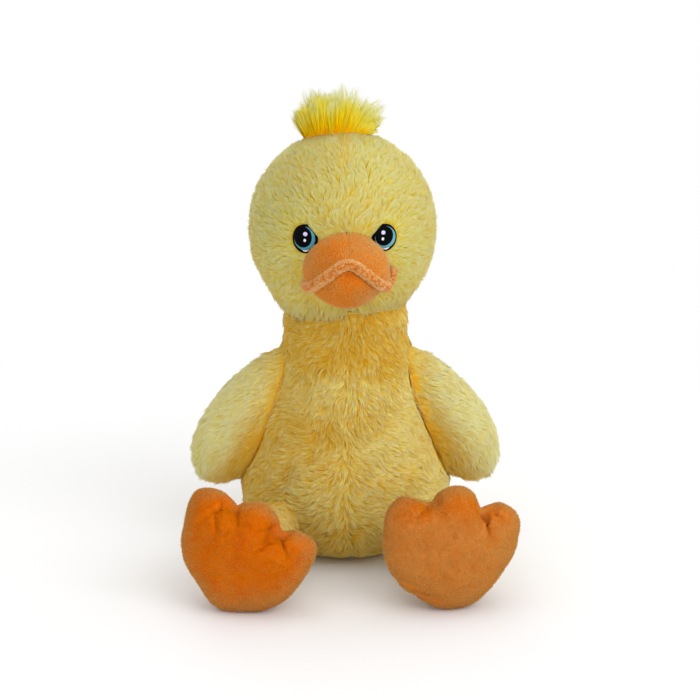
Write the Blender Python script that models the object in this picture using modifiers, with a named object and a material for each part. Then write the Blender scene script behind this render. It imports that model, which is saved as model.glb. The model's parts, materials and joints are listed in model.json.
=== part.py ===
"""A seated plush duck: sewn and stuffed pieces that hang together at their seams.

Metres, +Z up. The duck faces -Y and sits on the flat of its seat, whose centre is the origin.
Each sewn bag is a skin that is open at its seam, with its own filling inside.
"""
import math

import bmesh
import bpy
from mathutils import Matrix, Vector

# Cloth, clearances and cuts
cloth_thickness = 0.0025
touch_gap = 0.0003
turning_gap = 0.0006
flat_depth = 0.0005
cut_overrun = 0.03

# Body, a pear with a ball at the neck
neck_radius = 0.0435
neck_height = 0.1590
belly_radius = 0.0735
collar_radius = 0.0340
pellet_height = 0.0220
neck_ball_latitudes = (90, 74, 58, 44, 31, 18, 5, -8)
# Height as a share of the neck's height, and radius from neck, 0, to belly, 1
pear_shares = (
    (0.885, 0.04),
    (0.800, 0.16),
    (0.700, 0.33),
    (0.590, 0.52),
    (0.480, 0.71),
    (0.370, 0.89),
    (0.270, 0.99),
    (0.180, 0.97),
    (0.100, 0.80),
    (0.040, 0.48),
    (0.008, 0.12),
)
seat_radius_share = 0.45

# Head, a ball that is fuller below, placed above the neck's ball
head_radius = 0.0635
head_rise = 0.0680
jowl_share = 0.05
jowl_latitude = -45
jowl_spread = 27

# Seam ring between head and neck
seam_thread_radius = 0.0010

# Wings
wing_length = 0.1080
wing_width = 0.0500
wing_thickness = 0.0380
wing_outset = 0.0104
wing_forward = 0.0100
wing_drop = 0.0655
wing_lean = 33
wing_tip_share = 0.22
shoulder_drop = 0.0190
shoulder_turn = 10

# Legs and feet
hip_outset = 0.0130
hip_turn = 51
hip_height = 0.0300
hip_ball_radius = 0.0185
leg_reach = 0.0630
leg_splay = 10
leg_radius = 0.0195
leg_end_share = 0.7
leg_mouth_radius = 0.0110
ankle_depth = 0.0080
hip_ball_latitudes = (14, -12, -36, -62)
foot_thickness = 0.0350
foot_half_width = 0.0432
foot_half_height = 0.0358
foot_drop = 0.0032
foot_edge_share = 0.80
toe_radius = 0.0150
# Each toe is an angle in degrees and its reach from the middle of the foot
right_toes = ((134, 0.0460), (83, 0.0405), (34, 0.0460))
left_toes = ((130, 0.0480), (76, 0.0345), (5, 0.0450))
right_foot_roll = 0
left_foot_roll = -18

# Tail
tail_length = 0.0460
tail_width = 0.0360
tail_thickness = 0.0240
tail_taper_share = 0.35
tail_outset = 0.0065
tail_height = 0.0420
tail_rise = 30
tail_hinge_rise = 0.0120

# Bill
bill_half_width = 0.0295
bill_half_height = 0.0262
bill_length = 0.0370
bill_root_depth = 0.0035
bill_drop = 0.0208
bill_back_share = 0.5
lower_bill_share = 0.93
mouth_apex_rise = 0.0088
mouth_slope_share = 0.93
mouth_round = 0.0060
lip_radius = 0.0030

# Eyes
eye_x = 0.0270
eye_rise = 0.0208
eye_half_width = 0.0086
eye_half_height = 0.0097
eye_thickness = 0.0010

# Tuft of long hair
tuft_root_half_width = 0.0240
tuft_tip_half_width = 0.0325
tuft_half_depth = 0.0100
tuft_edge_share = 0.4
tuft_height = 0.0330
tuft_seat_depth = 0.0040

# Fineness of the meshes
body_columns = 24
inner_columns = 16
head_rows = 16
wing_columns = 16
wing_rows = 12
foot_columns = 28
foot_rows = 8
inner_foot_rows = 6
limb_columns = 16
inner_limb_columns = 12
inner_limb_rows = 8
socket_columns = 28
socket_rows = 14
ring_columns = 48
ring_sides = 6
mouth_steps = 12
lip_steps = 20
lip_resolution = 2
corner_halvings = 40
merge_share = 0.1
weld_share = 0.2

# Places that follow from the sizes above
head_height = neck_height + head_rise
bill_height = head_height - bill_drop
bill_root_y = bill_root_depth - head_radius
mouth_apex_height = bill_height + mouth_apex_rise
eye_height = bill_height + eye_rise
shoulder_height = neck_height - shoulder_drop
wing_height = neck_height - wing_drop
tail_hinge_height = tail_height + tail_hinge_rise

PART_NAME = "plush_duck"


def clear_scene():
    for item in list(bpy.data.objects):
        bpy.data.objects.remove(item, do_unlink=True)


def new_collection(name):
    collection = bpy.data.collections.new(name)
    bpy.context.scene.collection.children.link(collection)
    return collection


def new_material(name, colour, roughness):
    material = bpy.data.materials.new(name)
    material.use_nodes = True
    shader = material.node_tree.nodes["Principled BSDF"]
    shader.inputs["Base Color"].default_value = (*colour, 1.0)
    shader.inputs["Roughness"].default_value = roughness
    shader.inputs["Metallic"].default_value = 0.0
    return material


def new_object(name, mesh, collection, material=None):
    item = bpy.data.objects.new(name, mesh)
    collection.objects.link(item)
    if material is not None:
        mesh.materials.clear()
        mesh.materials.append(material)
    mesh.shade_smooth()
    return item


def new_cutter(name, mesh, collection):
    cutter = new_object(name, mesh, collection)
    cutter.hide_render = True
    cutter.display_type = "WIRE"
    return cutter


def subtract(item, *cutters, solver="EXACT"):
    for cutter in cutters:
        cut = item.modifiers.new("cut " + cutter.name, "BOOLEAN")
        cut.operation = "DIFFERENCE"
        cut.solver = solver
        cut.object = cutter


def keep_inside(item, cutter):
    cut = item.modifiers.new("keep " + cutter.name, "BOOLEAN")
    cut.operation = "INTERSECT"
    cut.solver = "EXACT"
    cut.object = cutter


def weld_cuts(collection):
    """Merge the points that a cut leaves closer together than any real edge."""
    for item in collection.objects:
        if item.type == "MESH" and item.modifiers:
            weld = item.modifiers.new("weld", "WELD")
            weld.merge_threshold = touch_gap * weld_share


def mesh_of(item):
    """The mesh that an object's modifiers or curve make, welded, in the object's own space."""
    bpy.context.view_layer.update()
    shown = item.evaluated_get(bpy.context.evaluated_depsgraph_get())
    mesh = bpy.data.meshes.new_from_object(shown)
    work = bmesh.new()
    work.from_mesh(mesh)
    bmesh.ops.remove_doubles(work, verts=work.verts, dist=touch_gap * merge_share)
    bmesh.ops.recalc_face_normals(work, faces=work.faces)
    work.to_mesh(mesh)
    work.free()
    bpy.data.objects.remove(item, do_unlink=True)
    return mesh


def turned_mesh(name, outline, columns, frame=None):
    """A solid of revolution about Z from (radius, height) points, listed from top to bottom."""
    profile = bpy.data.meshes.new(name)
    points = [(radius, 0.0, height) for radius, height in outline]
    profile.from_pydata(points, [(i, i + 1) for i in range(len(points) - 1)], [])
    holder = bpy.data.objects.new(name, profile)
    bpy.context.scene.collection.objects.link(holder)
    screw = holder.modifiers.new("turn", "SCREW")
    screw.steps = columns
    screw.render_steps = columns
    screw.use_merge_vertices = True
    screw.merge_threshold = touch_gap * merge_share
    mesh = mesh_of(holder)
    if frame is not None:
        mesh.transform(frame)
    return mesh


def ball_mesh(name, columns, rows, place):
    """A round primitive whose points on the unit ball are moved to where place puts them."""
    work = bmesh.new()
    bmesh.ops.create_uvsphere(work, u_segments=columns, v_segments=rows, radius=1.0)
    for vertex in work.verts:
        vertex.co = place(vertex.co.copy())
    mesh = bpy.data.meshes.new(name)
    work.to_mesh(mesh)
    work.free()
    return mesh


def box_mesh(name, low, high):
    work = bmesh.new()
    bmesh.ops.create_cube(work, size=1.0)
    for vertex in work.verts:
        vertex.co = Vector((low[i] + high[i]) / 2 + (high[i] - low[i]) * vertex.co[i] for i in range(3))
    mesh = bpy.data.meshes.new(name)
    work.to_mesh(mesh)
    work.free()
    return mesh


def drum_mesh(name, radius, depth, columns, frame):
    """A cylinder along the frame's Z, from its origin up by depth."""
    work = bmesh.new()
    bmesh.ops.create_cone(work, cap_ends=True, segments=columns, radius1=radius, radius2=radius, depth=depth)
    bmesh.ops.translate(work, verts=work.verts, vec=(0.0, 0.0, depth / 2))
    bmesh.ops.transform(work, verts=work.verts, matrix=frame)
    mesh = bpy.data.meshes.new(name)
    work.to_mesh(mesh)
    work.free()
    return mesh


def ring_mesh(name, ring_radius, thread_radius, height, columns, sides):
    outline = []
    for i in range(sides + 1):
        angle = -math.tau * i / sides
        radius = ring_radius + thread_radius * math.cos(angle)
        outline.append((radius, height + thread_radius * math.sin(angle)))
    return turned_mesh(name, outline, columns)


def tube_mesh(name, path, radius):
    curve = bpy.data.curves.new(name, "CURVE")
    curve.dimensions = "3D"
    curve.bevel_depth = radius
    curve.bevel_resolution = lip_resolution
    curve.use_fill_caps = True
    spline = curve.splines.new("POLY")
    spline.points.add(len(path) - 1)
    for point, place in zip(spline.points, path):
        point.co = (*place, 1.0)
    holder = bpy.data.objects.new(name, curve)
    bpy.context.scene.collection.objects.link(holder)
    return mesh_of(holder)


def slab_mesh(name, outline, low_y, high_y):
    """A flat outline in X and Z, given depth along Y."""
    curve = bpy.data.curves.new(name, "CURVE")
    curve.dimensions = "2D"
    curve.fill_mode = "BOTH"
    curve.extrude = (high_y - low_y) / 2
    spline = curve.splines.new("POLY")
    spline.points.add(len(outline) - 1)
    for point, (x, z) in zip(spline.points, outline):
        point.co = (x, z, 0.0, 1.0)
    spline.use_cyclic_u = True
    holder = bpy.data.objects.new(name, curve)
    bpy.context.scene.collection.objects.link(holder)
    mesh = mesh_of(holder)
    turn = Matrix.Rotation(math.radians(90), 4, "X")
    mesh.transform(Matrix.Translation((0.0, (low_y + high_y) / 2, 0.0)) @ turn)
    return mesh


def moved_in(outline, inset):
    """The outline of a turned form, moved square to itself towards its inside."""
    last = len(outline) - 1
    moved = []
    for i, (radius, height) in enumerate(outline):
        before = outline[max(i - 1, 0)]
        after = outline[min(i + 1, last)]
        along = Vector((after[0] - before[0], after[1] - before[1])).normalized()
        if i == 0:
            moved.append((0.0, height - inset))
        elif i == last:
            moved.append((0.0, height + inset))
        else:
            moved.append((radius + along.y * inset, height - along.x * inset))
    return moved


def every_second(outline):
    picked = outline[::2]
    if picked[-1] != outline[-1]:
        picked.append(outline[-1])
    return picked


def body_outline():
    outline = []
    for latitude in neck_ball_latitudes:
        angle = math.radians(latitude)
        outline.append((neck_radius * math.cos(angle), neck_height + neck_radius * math.sin(angle)))
    outline[0] = (0.0, neck_height + neck_radius)
    for height_share, girth_share in pear_shares:
        radius = neck_radius + (belly_radius - neck_radius) * girth_share
        outline.append((radius, neck_height * height_share))
    outline.append((belly_radius * seat_radius_share, -flat_depth))
    outline.append((0.0, -flat_depth))
    return outline


def girth_at(height):
    """The body's radius at a height below the neck's ball."""
    outline = body_outline()
    for upper, lower in zip(outline, outline[1:]):
        if upper[1] >= height > lower[1]:
            share = (upper[1] - height) / (upper[1] - lower[1])
            return upper[0] + (lower[0] - upper[0]) * share
    return belly_radius


def head_reach(latitude):
    """The head's radius in a direction that many degrees above the level."""
    fullness = math.exp(-(((latitude - jowl_latitude) / jowl_spread) ** 2))
    return head_radius * (1 + jowl_share * fullness)


def head_outline():
    outline = []
    for i in range(head_rows + 1):
        latitude = 90 - 180 * i / head_rows
        angle = math.radians(latitude)
        reach = head_reach(latitude)
        outline.append((reach * math.cos(angle), head_height + reach * math.sin(angle)))
    outline[0] = (0.0, outline[0][1])
    outline[-1] = (0.0, outline[-1][1])
    return outline


def head_rim_latitude():
    """Where the head's outside meets the neck's ball, seen from the ball's centre."""
    apart = head_height - neck_height
    reach = head_radius * (1 + jowl_share)
    cosine = (apart**2 + neck_radius**2 - reach**2) / (2 * apart * neck_radius)
    return 90 - math.degrees(math.acos(cosine))


def wing_place(side, inset):
    half_width = wing_width / 2 - inset
    half_thickness = wing_thickness / 2 - inset
    half_length = wing_length / 2 - inset
    centre = Vector((side * (girth_at(wing_height) + wing_outset), -wing_forward, wing_height))
    lean = Matrix.Rotation(math.radians(side * wing_lean), 3, "Y").inverted()

    def place(unit):
        swell = 1 - wing_tip_share * unit.z
        spread = Vector((half_width * swell * unit.x, half_thickness * unit.y, half_length * unit.z))
        return centre + lean @ spread

    return place


def shoulder_point(side):
    """A point on the body's side, at the top of the shoulder seam."""
    radius = girth_at(shoulder_height)
    turn = math.radians(shoulder_turn)
    return Vector((side * radius * math.cos(turn), -radius * math.sin(turn), shoulder_height))


def hip_point(side):
    """The middle of the ball at the top of a leg, just outside the body."""
    reach = girth_at(hip_height) + hip_outset
    turn = math.radians(hip_turn)
    return Vector((side * reach * math.cos(turn), -reach * math.sin(turn), hip_height))


def leg_frame(side):
    """The hip's frame: Z runs down the leg, X to the viewer's right and Y up."""
    hip = hip_point(side)
    splay = math.radians(leg_splay)
    foot = hip + Vector((side * leg_reach * math.sin(splay), -leg_reach * math.cos(splay), 0.0))
    foot.z = foot_half_height + foot_drop
    along = (foot - hip).normalized()
    right = Vector((0.0, 0.0, 1.0)).cross(along).normalized()
    up = along.cross(right)
    turn = Matrix((right, up, along)).transposed().to_4x4()
    return Matrix.Translation(hip) @ turn, (foot - hip).length


def leg_outline(leg_length, inset):
    """Ankle end first, then down to the ball that sits in the hip."""
    end = leg_length - foot_thickness / 2 + ankle_depth
    shaft = leg_radius - inset
    ball = hip_ball_radius - inset
    outline = [
        (0.0, end - inset),
        (shaft * leg_end_share, end - inset),
        (shaft, end - ankle_depth / 2),
        (shaft, end - 2 * ankle_depth),
    ]
    for latitude in hip_ball_latitudes:
        angle = math.radians(latitude)
        outline.append((ball * math.cos(angle), ball * math.sin(angle)))
    outline.append((0.0, -ball))
    return outline


def circle_reach(angle, centre_angle, reach, radius):
    """How far a circle that ends at reach extends from the middle, in one direction."""
    apart = angle - centre_angle
    distance = reach - radius
    across = distance * math.sin(apart)
    if abs(across) >= radius or math.cos(apart) <= 0:
        return 0.0
    return distance * math.cos(apart) + math.sqrt(radius**2 - across**2)


def ellipse_reach(angle, half_width, half_height, drop):
    """How far an ellipse that lies lower by drop extends from the middle, in one direction."""
    a = (math.cos(angle) / half_width) ** 2 + (math.sin(angle) / half_height) ** 2
    b = math.sin(angle) * drop / half_height**2
    c = (drop / half_height) ** 2 - 1
    return (-b + math.sqrt(b**2 - a * c)) / a


def foot_reach(angle, toes, roll):
    reach = ellipse_reach(angle - math.radians(roll), foot_half_width, foot_half_height, foot_drop)
    for toe_angle, toe_reach in toes:
        reach = max(reach, circle_reach(angle, math.radians(toe_angle), toe_reach, toe_radius))
    return reach


def foot_place(frame, toes, roll, inset):
    def place(unit):
        angle = math.atan2(unit.y, unit.x)
        off_axis = math.hypot(unit.x, unit.y)
        reach = (foot_reach(angle, toes, roll) - inset) * off_axis**foot_edge_share
        depth = (foot_thickness / 2 - inset) * unit.z
        return frame @ Vector((reach * math.cos(angle), reach * math.sin(angle), depth))

    return place


def foot_frame(side, toes, roll):
    """The middle of the foot, at the height that puts its heel on the floor."""
    hip, leg_length = leg_frame(side)
    frame = hip @ Matrix.Translation((0.0, 0.0, leg_length))
    trial = ball_mesh("foot_trial", foot_columns, foot_rows, foot_place(frame, toes, roll, 0.0))
    lowest = min(vertex.co.z for vertex in trial.vertices)
    bpy.data.meshes.remove(trial)
    return Matrix.Translation((0.0, 0.0, -flat_depth - lowest)) @ frame


def tail_place(inset):
    rise = Matrix.Rotation(math.radians(tail_rise), 3, "X")
    centre = Vector((0.0, girth_at(tail_height) + tail_outset, tail_height))

    def place(unit):
        taper = 1 - tail_taper_share * unit.y
        half = Vector((tail_width / 2 - inset, tail_length / 2 - inset, tail_thickness / 2 - inset))
        return centre + rise @ Vector((half.x * taper * unit.x, half.y * unit.y, half.z * taper * unit.z))

    return place


def bill_place(share):
    """Half an egg in front, and the same section carried straight back into the head."""
    half_width = bill_half_width * share
    half_height = bill_half_height * share
    length = bill_length * share

    def place(unit):
        x, y, z = unit
        if y > 0:
            widen = 1 / max(math.hypot(x, z), bill_back_share)
            x, z = x * widen, z * widen
        return Vector((half_width * x, bill_root_y + length * y, bill_height + half_height * z))

    return place


def mouth_line(x):
    return mouth_apex_height - mouth_slope_share * (math.hypot(x, mouth_round) - mouth_round)


def mouth_slab(name, shift, far_height):
    """Everything on one side of the mouth line, as a cutter's mesh."""
    edge = []
    for i in range(mouth_steps + 1):
        x = (2 * i / mouth_steps - 1) * (bill_half_width + cut_overrun)
        edge.append((x, mouth_line(x) + shift))
    edge.append((bill_half_width + cut_overrun, far_height))
    edge.append((-bill_half_width - cut_overrun, far_height))
    reach = bill_length + cut_overrun
    return slab_mesh(name, edge, bill_root_y - reach, bill_root_y + reach)


def lip_path():
    """Along the mouth line on the bill's surface, then straight back to the face."""
    path = []
    corner = corner_x()
    for i in range(lip_steps + 1):
        x = -corner * math.cos(math.pi * i / lip_steps)
        z = mouth_line(x)
        room = 1 - (x / bill_half_width) ** 2 - ((z - bill_height) / bill_half_height) ** 2
        path.append((x, bill_root_y - bill_length * math.sqrt(max(room, 0.0)), z))
    first = Vector(path[0])
    last = Vector(path[-1])
    back = Vector((0.0, bill_length, 0.0))
    return [tuple(first + back)] + path + [tuple(last + back)]


def corner_x():
    """Half the mouth's width, where the mouth line leaves the bill's outline."""
    low, high = 0.0, bill_half_width
    for _ in range(corner_halvings):
        x = (low + high) / 2
        inside = (x / bill_half_width) ** 2 + ((mouth_line(x) - bill_height) / bill_half_height) ** 2
        if inside < 1:
            low = x
        else:
            high = x
    return low


def tuft_place(unit):
    """A brush that spreads from its root on the head's crown."""
    rise = (unit.z + 1) / 2
    off_axis = math.hypot(unit.x, unit.y) ** tuft_edge_share
    angle = math.atan2(unit.y, unit.x)
    half_width = tuft_root_half_width + (tuft_tip_half_width - tuft_root_half_width) * rise
    x = half_width * off_axis * math.cos(angle)
    y = tuft_half_depth * off_axis * math.sin(angle)
    return Vector((x, y, head_height + head_radius - tuft_seat_depth + tuft_height * rise))


def pivot(name, place, parent, collection):
    """An empty on a joint's axis."""
    empty = bpy.data.objects.new(name, None)
    empty.empty_display_size = hip_ball_radius
    collection.objects.link(empty)
    empty.location = place
    bpy.context.view_layer.update()
    if parent is not None:
        hang(empty, parent)
    return empty


def hang(item, parent):
    bpy.context.view_layer.update()
    item.parent = parent
    item.matrix_parent_inverse = parent.matrix_world.inverted()


def make_materials():
    return {
        "head": new_material("head plush", (0.93, 0.85, 0.42), 0.95),
        "body": new_material("body plush", (0.91, 0.76, 0.32), 0.95),
        "wing": new_material("wing plush", (0.92, 0.82, 0.40), 0.95),
        "foot": new_material("foot velour", (0.90, 0.46, 0.12), 0.85),
        "bill": new_material("bill velour", (0.92, 0.48, 0.12), 0.8),
        "lip": new_material("lip terry", (0.93, 0.62, 0.33), 0.9),
        "eye": new_material("eye thread", (0.02, 0.02, 0.025), 0.4),
        "tuft": new_material("tuft hair", (0.95, 0.86, 0.10), 0.7),
        "thread": new_material("seam thread", (0.85, 0.66, 0.25), 0.8),
        "fill": new_material("filling fibre", (0.93, 0.93, 0.92), 1.0),
        "pellets": new_material("pellet bag cloth", (0.85, 0.83, 0.78), 0.9),
    }


def make_body(parts, cutters, finish):
    outline = body_outline()
    grown = turned_mesh("body_grown", moved_in(outline, -touch_gap), body_columns)
    grown = new_cutter("body_grown", grown, cutters)
    inner = every_second(moved_in(outline, cloth_thickness))
    cavity = new_cutter("body_cavity", turned_mesh("body_cavity", inner, inner_columns), cutters)
    filling = every_second(moved_in(outline, cloth_thickness + touch_gap))
    reach = belly_radius + cut_overrun
    floor = box_mesh("floor", (-reach, -reach, -cut_overrun), (reach, reach, 0.0))
    floor = new_cutter("body_floor", floor, cutters)
    collar_frame = Matrix.Translation((0.0, 0.0, neck_height))
    collar = drum_mesh("collar", collar_radius, neck_radius + cut_overrun, limb_columns, collar_frame)
    collar = new_cutter("body_collar", collar, cutters)
    pockets = [make_hip_pocket(side, cutters) for side in (-1, 1)]

    skin = new_object("body_skin", turned_mesh("body_skin", outline, body_columns), parts, finish["body"])
    subtract(skin, floor, collar, *pockets, cavity)

    split = pellet_height + touch_gap
    below = box_mesh("below", (-reach, -reach, -cut_overrun), (reach, reach, split))
    below = new_cutter("below_fibre", below, cutters)
    above = box_mesh("above", (-reach, -reach, pellet_height), (reach, reach, neck_height * 2))
    above = new_cutter("above_pellets", above, cutters)
    fibre = new_object("body_fill", turned_mesh("body_fill", filling, inner_columns), parts, finish["fill"])
    subtract(fibre, below, *pockets)
    pellets = turned_mesh("pellet_bag", filling, inner_columns)
    pellets = new_object("pellet_bag", pellets, parts, finish["pellets"])
    subtract(pellets, above, *pockets)
    return grown


def make_hip_pocket(side, cutters):
    """The hollow that the ball at the top of a leg turns in."""
    frame, leg_length = leg_frame(side)
    radius = hip_ball_radius + turning_gap
    mesh = ball_mesh("hip_pocket", body_columns, body_columns // 2, lambda unit: frame @ (unit * radius))
    return new_cutter("hip_pocket_" + side_name(side), mesh, cutters)


def side_name(side):
    return "left" if side < 0 else "right"


def make_head(parts, cutters, finish):
    outline = head_outline()
    grown = turned_mesh("head_grown", moved_in(outline, -touch_gap), body_columns)
    grown = new_cutter("head_grown", grown, cutters)
    inner = every_second(moved_in(outline, cloth_thickness))
    cavity = new_cutter("head_cavity", turned_mesh("head_cavity", inner, inner_columns), cutters)
    filling = every_second(moved_in(outline, cloth_thickness + touch_gap))
    socket_radius = neck_radius + turning_gap
    centre = Vector((0.0, 0.0, neck_height))
    socket = ball_mesh("socket", socket_columns, socket_rows, lambda unit: centre + unit * socket_radius)
    socket = new_cutter("neck_socket", socket, cutters)

    orbit = neck_radius + touch_gap + seam_thread_radius
    drop = math.degrees(seam_thread_radius / orbit)
    latitude = math.radians(head_rim_latitude() - drop)
    ring_radius = orbit * math.cos(latitude)
    height = neck_height + orbit * math.sin(latitude)
    ring = ring_mesh("neck_seam", ring_radius, seam_thread_radius, height, ring_columns, ring_sides)
    ring = new_object("neck_seam", ring, parts, finish["thread"])
    groove_radius = seam_thread_radius + turning_gap
    groove = ring_mesh("groove", ring_radius, groove_radius, height, socket_columns, ring_sides)
    groove = new_cutter("seam_groove", groove, cutters)

    skin = new_object("head_skin", turned_mesh("head_skin", outline, body_columns), parts, finish["head"])
    subtract(skin, socket, groove, cavity)
    fibre = new_object("head_fill", turned_mesh("head_fill", filling, inner_columns), parts, finish["fill"])
    subtract(fibre, socket)
    return grown, ring, [skin, fibre]


def make_bill(parts, cutters, finish, head):
    path = lip_path()
    groove = new_cutter("lip_groove", tube_mesh("lip_groove", path, lip_radius + touch_gap), cutters)
    far = bill_half_height + cut_overrun
    under = mouth_slab("under", touch_gap / 2, bill_height - far)
    under = new_cutter("under_mouth", under, cutters)
    over = mouth_slab("over", -touch_gap / 2, bill_height + far)
    over = new_cutter("over_mouth", over, cutters)
    upper = ball_mesh("upper_bill", body_columns, socket_rows, bill_place(1.0))
    upper = new_object("upper_bill", upper, parts, finish["bill"])
    subtract(upper, head, under)
    subtract(upper, groove, solver="MANIFOLD")
    lower = ball_mesh("lower_bill", body_columns, socket_rows, bill_place(lower_bill_share))
    lower = new_object("lower_bill", lower, parts, finish["bill"])
    subtract(lower, head, over)
    subtract(lower, groove, solver="MANIFOLD")
    lip = new_object("bill_lip", tube_mesh("bill_lip", path, lip_radius), parts, finish["lip"])
    subtract(lip, head, solver="MANIFOLD")
    return [upper, lower, lip]


def make_eyes(parts, cutters, finish, head):
    """Thread patches that follow the curve of the face."""
    outside = turned_mesh("eye_outside", moved_in(head_outline(), -touch_gap - eye_thickness), body_columns)
    outside = new_cutter("eye_outside", outside, cutters)
    grown = 1 + touch_gap / bill_half_height
    bill = ball_mesh("bill_grown", body_columns, socket_rows, bill_place(grown))
    bill = new_cutter("bill_grown", bill, cutters)
    eyes = []
    for side in (-1, 1):
        stretch = Matrix.Diagonal((eye_half_width / eye_half_height, 1.0, 1.0, 1.0))
        turn = Matrix.Rotation(math.radians(90), 4, "X")
        place = Matrix.Translation((side * eye_x, 0.0, eye_height))
        drum = drum_mesh("eye", eye_half_height, head_radius * 2, body_columns, place @ stretch @ turn)
        eye = new_object("eye_" + side_name(side), drum, parts, finish["eye"])
        keep_inside(eye, outside)
        subtract(eye, head, bill)
        eyes.append(eye)
    return eyes


def make_tuft(parts, finish, head):
    tuft = ball_mesh("hair_tuft", limb_columns, wing_rows, tuft_place)
    tuft = new_object("hair_tuft", tuft, parts, finish["tuft"])
    subtract(tuft, head)
    return tuft


def make_wing(side, parts, cutters, finish, body):
    name = "wing_" + side_name(side)
    place = wing_place(side, cloth_thickness)
    cavity = ball_mesh(name + "_cavity", inner_limb_columns, inner_limb_rows, place)
    cavity = new_cutter(name + "_cavity", cavity, cutters)
    skin = ball_mesh(name, wing_columns, wing_rows, wing_place(side, 0.0))
    skin = new_object(name + "_skin", skin, parts, finish["wing"])
    subtract(skin, body, cavity)
    place = wing_place(side, cloth_thickness + touch_gap)
    fibre = ball_mesh(name + "_fill", inner_limb_columns, inner_limb_rows, place)
    fibre = new_object(name + "_fill", fibre, parts, finish["fill"])
    subtract(fibre, body)
    return [skin, fibre]


def make_leg(side, parts, cutters, finish):
    name = "leg_" + side_name(side)
    frame, leg_length = leg_frame(side)
    outline = leg_outline(leg_length, 0.0)
    inner = leg_outline(leg_length, cloth_thickness)
    cavity = turned_mesh(name + "_cavity", inner, inner_limb_columns, frame)
    cavity = new_cutter(name + "_cavity", cavity, cutters)
    back = frame @ Matrix.Translation((0.0, 0.0, -hip_ball_radius - cut_overrun))
    depth = hip_ball_radius + cut_overrun
    mouth = drum_mesh(name + "_mouth", leg_mouth_radius, depth, inner_limb_columns, back)
    mouth = new_cutter(name + "_mouth", mouth, cutters)
    skin = new_object(name + "_skin", turned_mesh(name, outline, limb_columns, frame), parts, finish["body"])
    subtract(skin, cavity, mouth)
    inset = cloth_thickness + touch_gap
    fibre = turned_mesh(name + "_fill", leg_outline(leg_length, inset), inner_limb_columns, frame)
    fibre = new_object(name + "_fill", fibre, parts, finish["fill"])
    wide = leg_outline(leg_length, -turning_gap)
    socket = new_cutter(name + "_socket", turned_mesh(name + "_socket", wide, body_columns, frame), cutters)
    return socket, [skin, fibre]


def make_foot(side, parts, cutters, finish, socket):
    name = "foot_" + side_name(side)
    toes = left_toes if side < 0 else right_toes
    roll = left_foot_roll if side < 0 else right_foot_roll
    frame = foot_frame(side, toes, roll)
    middle = frame.translation
    reach = foot_half_width + cut_overrun
    low = (middle.x - reach, middle.y - reach, -cut_overrun)
    high = (middle.x + reach, middle.y + reach, 0.0)
    floor = new_cutter(name + "_floor", box_mesh(name + "_floor", low, high), cutters)
    cavity = foot_place(frame, toes, roll, cloth_thickness)
    cavity = ball_mesh(name + "_cavity", foot_columns, inner_foot_rows, cavity)
    cavity = new_cutter(name + "_cavity", cavity, cutters)
    skin = ball_mesh(name, foot_columns, foot_rows, foot_place(frame, toes, roll, 0.0))
    skin = new_object(name + "_skin", skin, parts, finish["foot"])
    subtract(skin, floor, socket, cavity)
    filling = foot_place(frame, toes, roll, cloth_thickness + touch_gap)
    fibre = ball_mesh(name + "_fill", foot_columns, inner_foot_rows, filling)
    fibre = new_object(name + "_fill", fibre, parts, finish["fill"])
    subtract(fibre, socket)
    return [skin, fibre]


def make_tail(parts, cutters, finish, body):
    cavity = ball_mesh("tail_cavity", inner_limb_columns, inner_limb_rows, tail_place(cloth_thickness))
    cavity = new_cutter("tail_cavity", cavity, cutters)
    skin = ball_mesh("tail_skin", limb_columns, inner_limb_rows, tail_place(0.0))
    skin = new_object("tail_skin", skin, parts, finish["body"])
    subtract(skin, body, cavity)
    place = tail_place(cloth_thickness + touch_gap)
    fibre = ball_mesh("tail_fill", inner_limb_columns, inner_limb_rows, place)
    fibre = new_object("tail_fill", fibre, parts, finish["fill"])
    subtract(fibre, body)
    return [skin, fibre]


def build():
    clear_scene()
    parts = new_collection(PART_NAME)
    cutters = new_collection("cutters")
    finish = make_materials()

    body = make_body(parts, cutters, finish)
    head, ring, head_pieces = make_head(parts, cutters, finish)
    head_pieces += make_bill(parts, cutters, finish, head)
    head_pieces += make_eyes(parts, cutters, finish, head)
    head_pieces.append(make_tuft(parts, finish, head))

    neck = (0.0, 0.0, neck_height)
    nod = pivot("head_nod_axis", neck, None, parts)
    turn = pivot("head_turn_axis", neck, nod, parts)
    hang(ring, nod)
    for piece in head_pieces:
        hang(piece, turn)

    for side in (-1, 1):
        shoulder = pivot("shoulder_axis_" + side_name(side), shoulder_point(side), None, parts)
        for piece in make_wing(side, parts, cutters, finish, body):
            hang(piece, shoulder)
        socket, leg_pieces = make_leg(side, parts, cutters, finish)
        hip = pivot("hip_axis_" + side_name(side), hip_point(side), None, parts)
        for piece in leg_pieces:
            hang(piece, hip)
        foot_pieces = make_foot(side, parts, cutters, finish, socket)
        frame, leg_length = leg_frame(side)
        ankle = frame @ Vector((0.0, 0.0, leg_length))
        ankle = pivot("ankle_axis_" + side_name(side), ankle, hip, parts)
        for piece in foot_pieces:
            hang(piece, ankle)

    tail = pivot("tail_axis", (0.0, girth_at(tail_hinge_height), tail_hinge_height), None, parts)
    for piece in make_tail(parts, cutters, finish, body):
        hang(piece, tail)
    weld_cuts(parts)


build()
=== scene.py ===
"""The looks of a seated plush duck: long pile, short velour, terry piping and stitched eyes."""

import json
import math
from types import SimpleNamespace

import bpy
import numpy as np
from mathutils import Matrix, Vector
from mathutils.kdtree import KDTree


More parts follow.
